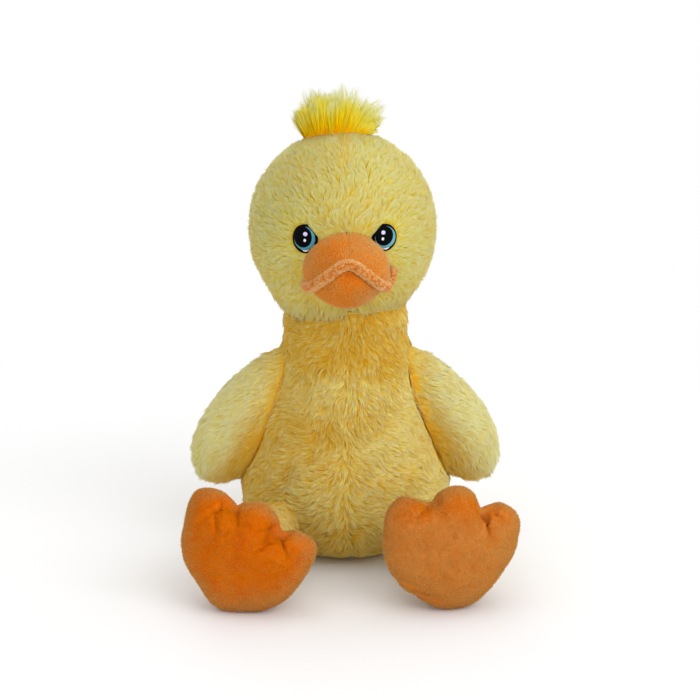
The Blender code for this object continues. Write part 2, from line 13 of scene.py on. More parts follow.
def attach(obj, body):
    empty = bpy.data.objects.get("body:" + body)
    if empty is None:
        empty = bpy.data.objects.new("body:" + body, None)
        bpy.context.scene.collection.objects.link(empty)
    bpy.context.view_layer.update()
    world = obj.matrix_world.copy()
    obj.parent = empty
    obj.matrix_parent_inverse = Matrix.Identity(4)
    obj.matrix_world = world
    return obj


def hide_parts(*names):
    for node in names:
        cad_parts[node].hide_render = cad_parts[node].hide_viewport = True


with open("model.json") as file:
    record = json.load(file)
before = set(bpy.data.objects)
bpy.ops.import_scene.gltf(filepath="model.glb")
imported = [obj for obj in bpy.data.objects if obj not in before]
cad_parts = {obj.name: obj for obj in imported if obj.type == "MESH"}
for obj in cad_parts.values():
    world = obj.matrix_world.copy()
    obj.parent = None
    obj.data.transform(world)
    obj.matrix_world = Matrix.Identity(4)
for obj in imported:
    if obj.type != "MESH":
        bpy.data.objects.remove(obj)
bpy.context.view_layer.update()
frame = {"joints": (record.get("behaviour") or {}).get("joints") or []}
joints = {joint["name"]: joint for joint in frame["joints"]}

# Camera, fitted to the photograph
LENS = 80.6
SENSOR_WIDTH = 36.0
CAMERA_AIM = (0.0032, -0.0001, 0.1377)
CAMERA_DISTANCE = 1.10
CAMERA_AZIMUTH = -2.0
CAMERA_ELEVATION = 14.0
CAMERA_NEAR = 0.01

# Clearances and how deep the cloth lies below the pile
TOUCH_GAP = 0.0003
FLAT_DEPTH = 0.0005
PILE_DEPTH = 0.0025
PRESSED_SHARE = 0.15
PRESS_REACH = 0.006
VELOUR_DEPTH = 0.0007
FLOOR_ROOT_GAP = 0.0014
FLOOR_HAIR_GAP = 0.0006
POCKET_GAP = 0.0008
PRESSED_HAIR_GAP = -0.0008
NECK_HAIR_GAP = 0.0014
SEAT_ROOT_GAP = 0.0012
SOCKET_ROOT_GAP = 0.0016
HIP_ROOT_GAP = 0.0010
ANKLE_ROOT_GAP = 0.0012
MOUTH_ROOT_GAP = 0.0006
EYE_ROOT_SHARE = 0.92
HIDDEN_DEPTH = -0.012

# Body
NECK_RADIUS = 0.0435
BELLY_RADIUS = 0.0735
NECK_BALL_LATITUDES = (90, 74, 58, 44, 31, 18, 5, -8)
PEAR_SHARES = (
    (0.885, 0.04),
    (0.800, 0.16),
    (0.700, 0.33),
    (0.590, 0.52),
    (0.480, 0.71),
    (0.370, 0.89),
    (0.270, 0.99),
    (0.180, 0.97),
    (0.100, 0.80),
    (0.040, 0.54),
    (0.008, 0.26),
)
SEAT_RADIUS_SHARE = 0.58

# Head
CHIN_DROP = 0.0040
CHIN_SLANT = 0.0022
HEAD_RADIUS = 0.0635
HEAD_RISE = 0.0680
HEAD_SHIFT = -0.0019
JOWL_SHARE = 0.05
JOWL_LATITUDE = -45
JOWL_SPREAD = 27

# Wings
WING_LENGTH = 0.1080
WING_WIDTH = 0.0500
WING_THICKNESS = 0.0380
WING_OUTSET = 0.0104
WING_FORWARD = 0.0100
WING_DROP = 0.0655
WING_LEAN = 33
WING_TIP_SHARE = 0.22
WING_SHOULDER_SHARE = 0.08
WING_LAP_SHARE = 0.85

# Legs and feet
HIP_BALL_RADIUS = 0.0185
HIP_BALL_LATITUDES = (14, -12, -36, -62)
TURNING_GAP = 0.0006
LEG_RADIUS = 0.0195
LEG_END_SHARE = 0.7
ANKLE_DEPTH = 0.0080
FOOT_THICKNESS = 0.0350
FOOT_EDGE_SHARE = 0.80
# Outlines, in millimetres across and up from the foot's middle
FOOT_OUTLINES = {
    "left": (
        (43, -1), (40, -10), (34, -20), (24, -32), (12, -39), (0, -41), (-15, -41), (-25, -36), (-34, -24),
        (-42, -12), (-45, 2), (-43, 16), (-41, 26), (-36, 35), (-28, 37), (-20, 35), (-14, 31), (-11, 27),
        (-4, 29), (6, 30), (14, 25), (19, 18), (21, 12), (28, 13), (37, 10), (42, 5),
    ),
    "right": (
        (43, 6), (40, -6), (33, -17), (25, -27), (12, -37), (0, -40), (-12, -39), (-22, -34), (-34, -25),
        (-42, -13), (-46, 0), (-46, 13), (-44, 25), (-38, 33), (-31, 36), (-22, 33), (-14, 31), (-9, 36),
        (-2, 39), (6, 39), (12, 36), (17, 30), (20, 24), (27, 26), (34, 26), (41, 21), (44, 14),
    ),
}
# Folds between the toes: where each starts and ends on the same outline, and how strong it is
CREASES = {
    "left": (
        ((-13, 30), (-28, 21), 1.2), ((-21, 22), (-19, 13), 0.7), ((-9, 28), (-6, 18), 0.8),
        ((20, 16), (9, 2), 1.3), ((22, 12), (27, -3), 1.1), ((18, 16), (6, 14), 0.5),
    ),
    "right": (
        ((-13, 33), (-27, 24), 0.9), ((18, 28), (21, 6), 1.5), ((26, 24), (36, 14), 0.8),
        ((-43, -16), (-26, -23), 0.5), ((-28, -29), (-12, -31), 0.5),
    ),
}
CREASE_DEPTH = 0.0046
CREASE_WIDTH = 1.2
HOLLOW_DEPTH = 0.0024
HOLLOW_WIDTH = 4.5
MILLIMETRES = 1000
# Columns and rows of the points that find the foot's lowest place
FOOT_TRIAL = (160, 48)

# Tail
TAIL_LENGTH = 0.0460
TAIL_WIDTH = 0.0360
TAIL_THICKNESS = 0.0240
TAIL_TAPER_SHARE = 0.35
TAIL_OUTSET = 0.0065
TAIL_HEIGHT = 0.0420
TAIL_RISE = 30

# Bill
BILL_SHIFT = -0.0012
BILL_HALF_WIDTH = 0.0282
BILL_HALF_HEIGHT = 0.0254
BILL_LENGTH = 0.0370
BILL_ROOT_DEPTH = 0.0035
BILL_SEAT = 0.0140
BILL_DROP = 0.0208
LOWER_BILL_SHARE = 0.93
MOUTH_APEX_RISE = 0.0104
MOUTH_SLOPE_SHARE = 1.02
MOUTH_ROUND = 0.0075
BILL_BACK_SHARE = 0.2
BILL_SEAM_DEPTH = 0.0007
LIP_RADIUS = 0.0031
# How the piping goes on past the mouth's right corner
LIP_CURL = np.array(((0.0028, 0.004, 0.0035), (0.0042, 0.010, 0.0080), (0.0042, BILL_LENGTH, 0.0110)))

# Eyes: the middle and the half size of each, across and up, then the brow's line and each shine's place
EYES = {"left": ((-0.0262, 0.0), (0.0080, 0.0095)), "right": ((0.0256, 0.0006), (0.0080, 0.0090))}
BROW_SLANT = (0.70, 0.71)
BROW_REACH = 0.80
FAR_OFF = 9.0
EYE_RIM = 0.0013
EYE_RINGS = 14
EYE_COLUMNS = 48
EYE_BACK_LIFT = -0.0015
EYE_SHINES = {"left": (0.0010, 0.0034), "right": (-0.0018, 0.0036)}

# Tuft
TUFT_SHIFT = -0.0052
TUFT_ROOT_HALF_WIDTH = 0.0192
TUFT_ROOT_HALF_DEPTH = 0.0080
TUFT_LEFT_SPREAD = 0.40
TUFT_RIGHT_SPREAD = 1.15
TUFT_LENGTH = 0.0310
TUFT_CORE_LENGTH = 0.0215
TUFT_CORE_SLANT = 0.0035
TUFT_HAIRS = 7000
FRINGE_HAIRS = TUFT_HAIRS // 5
FRINGE_LOCKS = 60
CORE_LOCKS = 110
TUFT_LENGTHS = (0.010, 0.0355)
FRINGE_WIDTH = 0.00042
CORE_WIDTH = 0.00062
FRINGE_GATHER = 0.75
CORE_GATHER = 0.2
TUFT_BEND = 0.0012
TUFT_DROOP = 0.003

# Pile: lengths and widths in metres, densities in hairs on a square millimetre, leans in degrees
PILE_LENGTH = 0.0082
PILE_WIDTH = 0.00064
PILE_LEAN = 31
PILE_TAPER = (1.0, 0.8)
PILE_SOFTNESS = 0.25
HEAD_DENSITY = 1.8
BODY_DENSITY = 1.6
WING_DENSITY = 1.7
TAIL_DENSITY = 2.2
TAIL_TIP_LEAN = 75
VELOUR_LENGTH = 0.0013
VELOUR_WIDTH = 0.00055
VELOUR_LEAN = 62
FOOT_DENSITY = 2.6
FOOT_NAP = 0.16
BILL_DENSITY = 3.2
BILL_PILE_LENGTH = 0.0014
BILL_NAP = 0.07
NAP_SIZE = 0.0018
LIP_DENSITY = 6.0
LIP_LOOP_LENGTH = 0.0020
LIP_LOOP_WIDTH = 0.0006
LIP_LOOP_LEAN = 66
# How many hairs share a lock, how strongly their tips gather, how much of the lean is left at the tips,
# how wavy they lie, how wide they are, and how the tone varies from lock to lock and from hair to hair
PLUSH = {
    "lock": 8, "gather": 0.30, "lay": 0.35, "wave": 0.75, "width": PILE_WIDTH, "spread": 0.10, "grain": 0.12,
}
VELOUR = {
    "lock": 30, "gather": 0.10, "lay": 0.9, "wave": 0.9, "width": VELOUR_WIDTH, "spread": 0.10, "grain": 0.22,
}
TERRY = {
    "lock": 9, "gather": 0.8, "lay": 0.6, "wave": 1.0, "width": LIP_LOOP_WIDTH, "spread": 0.30, "grain": 0.12,
}

# Columns and rows of each cloth
MESHES = {
    "head": (112, 80), "body": (128, 128), "wing": (64, 72), "leg": (64, 64),
    "foot": (200, 72), "tail": (48, 40), "bill": (128, 96), "lip": (20, 160),
}

# Zones of the pile, in metres: where each starts and where it is full. Heights on the head are above its
# middle, those on a wing run along it from its middle, and depths run back.
HEAD_BEHIND = (-0.02, 0.05)
HEAD_FRONT = (-0.03, -0.06)
HEAD_TUCK = (-0.03, 0.01)
HEAD_SIDES = (-0.045, -0.005)
CROWN_ZONE = (0.03, 0.05)
CHIN_ZONE = (-0.040, -0.052)
HANG_ZONE = (-0.030, -0.048)
RIM_ZONE = (-0.036, -0.050)
CHEEK_ZONE = (0.01, -0.04)
BELLY_SEAM_ZONE = (0.125, 0.100)
BELLY_PARTING_ZONE = (0.100, 0.070)
NECK_ZONE = (0.120, 0.145)
LOW_ZONE = (0.050, 0.010)
LIFT_ZONE = (0.075, 0.020)
SEAT_ZONE = (0.001, 0.018)
BACK_ZONE = (-0.01, 0.03)
WING_TOP_ZONE = (0.025, 0.050)
WING_END_ZONE = (0.0, -0.05)

# Partings and seams
PARTING_WIDTH = 0.006
PARTING_EDGE = 0.002
CHIN_PARTING = 0.004
BELLY_SEAM = 0.002
BELLY_SEAM_WIDTH = 0.003
BELLY_SEAM_DEPTH = 0.0014
BELLY_LEVEL = 0.070
BELLY_RIPPLE = 0.0006

# Threads and hairs, close up
STREAK_SCALE = (3.0, 160.0, 1.0)
STREAK_STRENGTH = 0.24
MOTTLE_SCALE = 90.0
NAP_STRENGTH = 0.3
NAP_HEIGHT = 0.0003

# Stage
WHITE = (1.0, 1.0, 1.0, 1.0)
FLOOR_GREY = (0.92, 0.92, 0.92, 1.0)
FLOOR_REACH = 30.0
FLOOR_FADE = (0.22, 0.60)
WORLD_LIGHT = 0.68
LAMP_AIM = (0, 0, 0.15)
# Name, place, width and power
LAMPS = (
    ("key", (1.2, -1.4, 1.2), 1.8, 21.0),
    ("fill", (-0.9, -1.7, 0.1), 1.4, 9.6),
    ("top", (0.1, 0.3, 1.8), 1.6, 7.5),
    ("back", (-0.4, 1.6, 0.8), 1.4, 6.0),
)
# Sockets of the colour mixer
FIRST_COLOUR, SECOND_COLOUR, MIXED_COLOUR = 6, 7, 2

# Places that follow
NECK = np.array(joints["head_nod"]["pos_m"])
NECK_HEIGHT = NECK[2]
UP = np.array((0.0, 0.0, 1.0))
HEAD = NECK + (HEAD_SHIFT, 0.0, HEAD_RISE)
BILL_HEIGHT = HEAD[2] - BILL_DROP
BILL_ROOT_Y = BILL_ROOT_DEPTH - HEAD_RADIUS
HEAD_WHORL = np.array((HEAD_SHIFT, -HEAD_RADIUS, BILL_HEIGHT + 0.010))
MOUTH_APEX = BILL_HEIGHT + MOUTH_APEX_RISE
EYE_HEIGHT = HEAD[2]
WING_HEIGHT = NECK_HEIGHT - WING_DROP
SIDES = {"left": -1, "right": 1}
RING_ANGLES = np.radians((90, 210, 330))
SLOPE_STEP = 0.00001


def unit(vectors):
    return vectors / np.maximum(np.linalg.norm(vectors, axis=-1, keepdims=True), 1e-9)


def dot(a, b):
    return np.sum(a * b, axis=-1, keepdims=True)


def smooth_step(low, high, value):
    share = np.clip((value - low) / (high - low), 0, 1)
    return share * share * (3 - 2 * share)


def bell(value, middle, spread):
    return np.exp(-(((value - middle) / spread) ** 2))


def ripple(points, size, seed, waves=9):
    """A smooth random field over space, mostly between -1 and 1, with bumps of about that size."""
    rng = np.random.default_rng(seed)
    total = np.zeros(len(points))
    for _ in range(waves):
        wave = unit(rng.normal(size=3)) * math.tau / (size * rng.uniform(1.4, 2.8))
        total += np.sin(points @ wave + rng.uniform(0, math.tau))
    return total / math.sqrt(waves)


def smooth_curve(points, count=500):
    """Evenly spaced points on a smooth curve through the given ones."""
    points = np.array(points, float)
    last = len(points) - 1
    place = np.linspace(0, last, count * 4)
    i = np.minimum(place.astype(int), last - 1)
    f = (place - i)[:, None]
    p0, p1 = points[np.maximum(i - 1, 0)], points[i]
    p2, p3 = points[i + 1], points[np.minimum(i + 2, last)]
    bend = 2 * p1 + (p2 - p0) * f + (2 * p0 - 5 * p1 + 4 * p2 - p3) * f**2
    curve = (bend + (3 * p1 - p0 - 3 * p2 + p3) * f**3) / 2
    run = np.concatenate([[0], np.cumsum(np.linalg.norm(np.diff(curve, axis=0), axis=1))])
    even = np.linspace(0, run[-1], count)
    return np.stack([np.interp(even, run, curve[:, k]) for k in range(curve.shape[1])], 1)


def body_outline():
    outline = []
    for latitude in NECK_BALL_LATITUDES:
        angle = math.radians(latitude)
        outline.append((NECK_RADIUS * math.cos(angle), NECK_HEIGHT + NECK_RADIUS * math.sin(angle)))
    for height_share, girth_share in PEAR_SHARES:
        radius = NECK_RADIUS + (BELLY_RADIUS - NECK_RADIUS) * girth_share
        outline.append((radius, NECK_HEIGHT * height_share))
    outline.append((BELLY_RADIUS * SEAT_RADIUS_SHARE, -FLAT_DEPTH))
    outline.append((0.0, -FLAT_DEPTH))
    return smooth_curve(outline)


BODY_OUTLINE = body_outline()
BELOW_NECK = BODY_OUTLINE[BODY_OUTLINE[:, 1] < NECK_HEIGHT][::-1]


def girth_at(height):
    return np.interp(height, BELOW_NECK[:, 1], BELOW_NECK[:, 0])


def head_reach(latitude):
    return HEAD_RADIUS * (1 + JOWL_SHARE * bell(latitude, JOWL_LATITUDE, JOWL_SPREAD))


def head_room(points):
    """How far points are outside the head's surface."""
    away = points - HEAD
    reach = np.linalg.norm(away, axis=1)
    latitude = np.degrees(np.arcsin(np.clip(away[:, 2] / np.maximum(reach, 1e-9), -1, 1)))
    return reach - head_reach(latitude)


def body_room(points):
    """How far points are outside the body's surface, near enough."""
    around = np.hypot(points[:, 0], points[:, 1])
    beside = around - girth_at(points[:, 2])
    above = np.linalg.norm(points - NECK, axis=1) - NECK_RADIUS
    return np.where(points[:, 2] > NECK_HEIGHT, above, beside)


def wing_axes(side):
    """The wing's middle and its width, thickness and length directions as rows."""
    lean = math.radians(WING_LEAN) * side
    centre = np.array((side * (girth_at(WING_HEIGHT) + WING_OUTSET), -WING_FORWARD, WING_HEIGHT))
    turn = np.array(((math.cos(lean), 0, math.sin(lean)), (0, 1, 0), (-math.sin(lean), 0, math.cos(lean))))
    return centre, turn


def wing_overlap(height_share):
    """How much wider the wing's inner half is, where it laps over the front of the body."""
    return 1 + WING_LAP_SHARE * bell(height_share, 0.62, 0.40)


def wing_place(side):
    centre, turn = wing_axes(side)

    def place(spot):
        swell = 1 - WING_TIP_SHARE * spot[:, 2]
        upper = 1 + WING_SHOULDER_SHARE * np.maximum(spot[:, 2], 0) ** 2
        inner = smooth_step(0.0, 0.7, -side * spot[:, 0])
        local = np.stack([
            WING_WIDTH / 2 * swell * spot[:, 0] * (1 + (wing_overlap(spot[:, 2]) - 1) * inner),
            WING_THICKNESS / 2 * spot[:, 1],
            WING_LENGTH / 2 * upper * spot[:, 2],
        ], 1)
        return centre + local @ turn

    return place


def wing_room(side, points):
    centre, turn = wing_axes(side)
    local = (points - centre) @ turn.T
    z = local[:, 2] / (WING_LENGTH / 2)
    swell = 1 - WING_TIP_SHARE * np.clip(z, -1, 1)
    lap = np.where(side * local[:, 0] < 0, wing_overlap(z), 1)
    x = local[:, 0] / (WING_WIDTH / 2 * swell * lap)
    y = local[:, 1] / (WING_THICKNESS / 2)
    return (np.sqrt(x**2 + y**2 + z**2) - 1) * WING_THICKNESS / 2


def leg_axes(word):
    """Hip, ankle, and the leg's right, up and down-the-leg directions as rows."""
    hip = np.array(joints[f"leg_{word}_swing"]["pos_m"])
    ankle = np.array(joints[f"foot_{word}_twist"]["pos_m"])
    along = unit(ankle - hip)
    right = unit(np.cross(UP, along))
    return hip, ankle, np.array((right, np.cross(along, right), along))


def leg_end(hip, ankle):
    return np.linalg.norm(ankle - hip) - FOOT_THICKNESS / 2 + ANKLE_DEPTH


def leg_room(word, points):
    """How far points are outside the leg: a ball in the hip, then a round shaft."""
    hip, ankle, axes = leg_axes(word)
    local = (points - hip) @ axes.T
    in_hip = np.linalg.norm(local, axis=1) - HIP_BALL_RADIUS
    shaft = np.maximum(np.hypot(local[:, 0], local[:, 1]) - LEG_RADIUS, local[:, 2] - leg_end(hip, ankle))
    return np.where(local[:, 2] < 0, in_hip, shaft)


def leg_outline(hip, ankle):
    """Ankle end first, then down to the ball that sits in the hip."""
    end = leg_end(hip, ankle)
    outline = [
        (0.0, end),
        (LEG_RADIUS * LEG_END_SHARE, end),
        (LEG_RADIUS, end - ANKLE_DEPTH / 2),
        (LEG_RADIUS, end - 2 * ANKLE_DEPTH),
    ]
    for latitude in HIP_BALL_LATITUDES:
        angle = math.radians(latitude)
        outline.append((HIP_BALL_RADIUS * math.cos(angle), HIP_BALL_RADIUS * math.sin(angle)))
    outline.append((0.0, -HIP_BALL_RADIUS))
    return smooth_curve(outline)


def turned_place(outline, spot):
    """Where a point of the unit ball lands on a turned outline that starts at its upper end."""
    at = np.arccos(np.clip(spot[:, 2], -1, 1)) / math.pi * (len(outline) - 1)
    steps = np.arange(len(outline))
    radius = np.interp(at, steps, outline[:, 0])
    height = np.interp(at, steps, outline[:, 1])
    around = np.arctan2(spot[:, 1], spot[:, 0])
    return np.stack([radius * np.cos(around), radius * np.sin(around), height], 1)


def foot_reach(word, angle):
    """How far the foot's outline is from its middle, in one direction."""
    outline = np.array(FOOT_OUTLINES[word] * 3, float) / MILLIMETRES
    curve = smooth_curve(outline, 1500)[450:1050]
    around = np.unwrap(np.arctan2(curve[:, 1], curve[:, 0]))
    order = np.argsort(around)
    turn = np.mod(angle - around[order[0]], math.tau) + around[order[0]]
    return np.interp(turn, around[order], np.hypot(curve[:, 0], curve[:, 1])[order])


def foot_local(word, spot):
    """A point of the unit ball on the foot: X across, Y up and Z towards the sole."""
    angle = np.arctan2(spot[:, 1], spot[:, 0])
    reach = foot_reach(word, angle) * np.hypot(spot[:, 0], spot[:, 1]) ** FOOT_EDGE_SHARE
    return np.stack([reach * np.cos(angle), reach * np.sin(angle), FOOT_THICKNESS / 2 * spot[:, 2]], 1)


def tail_place(spot):
    rise = math.radians(TAIL_RISE)
    taper = 1 - TAIL_TAPER_SHARE * spot[:, 1]
    x = TAIL_WIDTH / 2 * taper * spot[:, 0]
    y = TAIL_LENGTH / 2 * spot[:, 1]
    z = TAIL_THICKNESS / 2 * taper * spot[:, 2]
    back = y * math.cos(rise) - z * math.sin(rise) + girth_at(TAIL_HEIGHT) + TAIL_OUTSET
    return np.stack([x, back, y * math.sin(rise) + z * math.cos(rise) + TAIL_HEIGHT], 1)


def mouth_line(x):
    """The height at which the lips meet, for a place across the bill."""
    return MOUTH_APEX - MOUTH_SLOPE_SHARE * (np.hypot(x - BILL_SHIFT, MOUTH_ROUND) - MOUTH_ROUND)


def bill_room(points):
    x = (points[:, 0] - BILL_SHIFT) / BILL_HALF_WIDTH
    ahead = points[:, 1] - BILL_ROOT_Y
    y = (np.minimum(ahead, 0) + np.maximum(ahead - BILL_SEAT, 0)) / BILL_LENGTH
    z = (points[:, 2] - BILL_HEIGHT) / BILL_HALF_HEIGHT
    return (np.sqrt(x**2 + y**2 + z**2) - 1) * BILL_HALF_HEIGHT


def eye_frame(word, x, z):
    """How far inward, upward and towards the brow a place is from an eye's middle, as shares of the eye."""
    centre, half_size = EYES[word]
    inward = -SIDES[word] * (x - HEAD_SHIFT - centre[0]) / half_size[0]
    upward = (z - EYE_HEIGHT - centre[1]) / half_size[1]
    return inward, upward, BROW_SLANT[0] * inward + BROW_SLANT[1] * upward


def eye_share(points):
    """Distance from the nearer eye's middle, seen from the front, as a share of the eye.
    The brow cuts off the eye's upper inner corner."""
    shares = []
    for word in EYES:
        inward, upward, brow = eye_frame(word, points[:, 0], points[:, 2])
        share = np.maximum(np.hypot(inward, upward), brow / BROW_REACH)
        shares.append(np.where(points[:, 1] < 0, share, FAR_OFF))
    return np.minimum(*shares)


def ball(columns, rows):
    """Points of a unit ball in rows from top to bottom, and its faces as four-point rows."""
    latitudes = np.linspace(math.pi / 2, -math.pi / 2, rows + 1)[1:-1]
    longitudes = np.arange(columns) * math.tau / columns
    lat, lon = np.meshgrid(latitudes, longitudes, indexing="ij")
    middle = np.stack([np.cos(lat) * np.cos(lon), np.cos(lat) * np.sin(lon), np.sin(lat)], -1)
    points = np.concatenate([[(0, 0, 1.0)], middle.reshape(-1, 3), [(0, 0, -1.0)]])
    i = np.arange(columns)
    j = (i + 1) % columns
    bottom = len(points) - 1
    top_fan = np.stack([np.zeros_like(i), 1 + i, 1 + j], 1)
    last = 1 + (rows - 2) * columns
    bottom_fan = np.stack([np.full_like(i, bottom), last + j, last + i], 1)
    quads = []
    for row in range(rows - 2):
        above = 1 + row * columns
        below = above + columns
        quads.append(np.stack([above + i, below + i, below + j, above + j], 1))
    return points, np.concatenate(quads), np.concatenate([top_fan, bottom_fan])


def face_normals(points, triangles):
    a, b, c = points[triangles[:, 0]], points[triangles[:, 1]], points[triangles[:, 2]]
    return np.cross(b - a, c - a)


def point_normals(points, triangles):
    total = np.zeros_like(points)
    weighted = face_normals(points, triangles)
    for corner in range(3):
        np.add.at(total, triangles[:, corner], weighted)
    return unit(total)


def make_form(columns, rows, place):
    """A closed surface: where place puts the points of a ball."""
    spots, quads, fans = ball(columns, rows)
    triangles = np.concatenate([quads[:, (0, 1, 2)], quads[:, (0, 2, 3)], fans])
    form = SimpleNamespace(spots=spots, quads=quads, fans=fans, triangles=triangles, points=place(spots))
    form.normals = point_normals(form.points, triangles)
    return form


def set_points(form, points):
    form.points = points
    form.normals = point_normals(points, form.triangles)


def move_in(form, depth):
    set_points(form, form.points - form.normals * depth)


def slope(room, points):
    """The direction in which points leave a neighbour fastest."""
    parts = [room(points + step) - room(points - step) for step in np.eye(3) * SLOPE_STEP]
    return unit(np.stack(parts, 1))


def cleared(points, room, least, tries=6):
    """The points, with those nearer to a neighbour than least moved out to it."""
    points = points.copy()
    for _ in range(tries):
        near = np.flatnonzero(room(points) < least - SLOPE_STEP)
        if len(near) == 0:
            break
        short = least - room(points[near])
        points[near] += slope(room, points[near]) * short[:, None]
    return points


def press_in(form, rooms):
    """The backing cloth lies below the pile, but close to where a neighbour presses the pile flat."""
    room = np.min([measure(form.points) for measure in rooms], axis=0)
    depth = PILE_DEPTH * (PRESSED_SHARE + (1 - PRESSED_SHARE) * smooth_step(0.0, PRESS_REACH, room))
    set_points(form, form.points - form.normals * depth[:, None])


def keep_out_of(form, room):
    set_points(form, cleared(form.points, room, TOUCH_GAP, 12))


def above_floor(form):
    points = form.points.copy()
    points[:, 2] = np.maximum(points[:, 2], TOUCH_GAP)
    set_points(form, points)


def height_over_floor(points):
    return points[:, 2]


def mesh_from(name, points, corners, sizes):
    mesh = bpy.data.meshes.new(name)
    mesh.vertices.add(len(points))
    mesh.vertices.foreach_set("co", points.astype(np.float32).ravel())
    mesh.loops.add(len(corners))
    mesh.loops.foreach_set("vertex_index", corners.astype(np.int32))
    mesh.polygons.add(len(sizes))
    starts = np.concatenate([[0], np.cumsum(sizes)[:-1]])
    mesh.polygons.foreach_set("loop_start", starts.astype(np.int32))
    mesh.update(calc_edges=True)
    mesh.validate()
    return mesh


def form_mesh(name, form):
    corners = np.concatenate([form.quads.ravel(), form.fans.ravel()])
    sizes = np.concatenate([np.full(len(form.quads), 4), np.full(len(form.fans), 3)])
    return mesh_from(name, form.points, corners, sizes)


def add_object(name, data):
    item = bpy.data.objects.new(name, data)
    bpy.context.scene.collection.objects.link(item)
    return item


def point_along(item, place, direction):
    item.location = place
    item.rotation_mode = "QUATERNION"
    item.rotation_quaternion = direction.to_track_quat("-Z", "Y")


def add_piece(name, mesh, material, body, replaced=()):
    piece = add_object(name, mesh)
    mesh.materials.append(material)
    if replaced:
        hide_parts(*replaced)
    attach(piece, body)
    return piece


def bag(name):
    """The plain solids of a stuffed bag."""
    return (name + "_skin", name + "_fill")


def add_cloth(name, form, material, body, replaced):
    """A stuffed piece's backing cloth, which stands for its plain solids."""
    add_piece(name, form_mesh(name, form), material, body, replaced)


def scatter(form, per_square_mm, rng):
    """Evenly strewn points on a form, with its normals there."""
    a, b, c = (form.points[form.triangles[:, k]] for k in range(3))
    area = np.linalg.norm(face_normals(form.points, form.triangles), axis=1) / 2
    run = np.cumsum(area)
    count = int(run[-1] * 1e6 * per_square_mm)
    picked = np.searchsorted(run, (np.arange(count) + rng.random(count)) / count * run[-1])
    picked = np.minimum(picked, len(area) - 1)
    u, v = rng.random((2, count, 1))
    fold = u + v > 1
    u, v = np.where(fold, 1 - u, u), np.where(fold, 1 - v, v)
    points = a[picked] + (b[picked] - a[picked]) * u + (c[picked] - a[picked]) * v
    na, nb, nc = (form.normals[form.triangles[picked, k]] for k in range(3))
    return points, unit(na + (nb - na) * u + (nc - na) * v)


def strand_mesh(name, spine, normals, width, tone, taper, softness):
    """Three-sided hairs along spine, from root to tip. The map runs from root to tip and from pale to deep.
    Normals are bent towards the cloth's own, so that the pile shades as one soft surface."""
    rings = len(spine) - 1
    size = 3 * rings + 1
    count = len(normals)
    along = unit(spine[-1] - spine[0])
    across = unit(np.cross(normals, along))
    lift = np.cross(along, across)
    points = np.empty((count, size, 3))
    soft = np.empty((count, size, 3))
    places = np.empty((count, size, 2))
    for ring in range(rings):
        for side, angle in enumerate(RING_ANGLES):
            out = across * math.cos(angle) + lift * math.sin(angle)
            at = 3 * ring + side
            points[:, at] = spine[ring] + out * (width * taper[ring] / 2)[:, None]
            soft[:, at] = unit(normals + out * softness)
            places[:, at, 0] = 0.02 + 0.96 * ring / rings
            places[:, at, 1] = tone + (side - 1) * 0.006
    points[:, -1] = spine[-1]
    soft[:, -1] = unit(normals + along * softness)
    places[:, -1, 0] = 0.98
    places[:, -1, 1] = tone
    faces = []
    for ring in range(rings - 1):
        for side in range(3):
            a, b = 3 * ring + side, 3 * ring + (side + 1) % 3
            faces.append((a, b, b + 3, a + 3))
    last = 3 * (rings - 1)
    for side in range(3):
        faces.append((last + side, last + (side + 1) % 3, size - 1))
    pattern = np.concatenate([np.array(face) for face in faces])
    corners = (pattern[None, :] + size * np.arange(count)[:, None]).ravel()
    sizes = np.tile([len(face) for face in faces], count)
    mesh = mesh_from(name, points.reshape(-1, 3), corners, sizes)
    shading = []
    for face in faces:
        a, b, c = (points[:, k] for k in face[:3])
        facing = unit(np.cross(b - a, c - a))[:, None]
        bent = soft[:, face]
        shading.append(bent - 2 * np.minimum(dot(bent, facing), 0) * facing)
    mesh.normals_split_custom_set(np.concatenate(shading, axis=1).reshape(-1, 3))
    layer = mesh.uv_layers.new(name="OFBake")
    layer.uv.foreach_set("vector", places.reshape(-1, 2)[corners].astype(np.float32).ravel())
    return mesh


def turned(flow, normals, angle):
    angle = angle[:, None]
    return flow * np.cos(angle) + np.cross(normals, flow) * np.sin(angle)


def nearest_lock(roots, centres):
    tree = KDTree(len(centres))
    for index, point in enumerate(roots[centres]):
        tree.insert(point, index)
    tree.balance()
    return np.array([tree.find(point)[1] for point in roots])


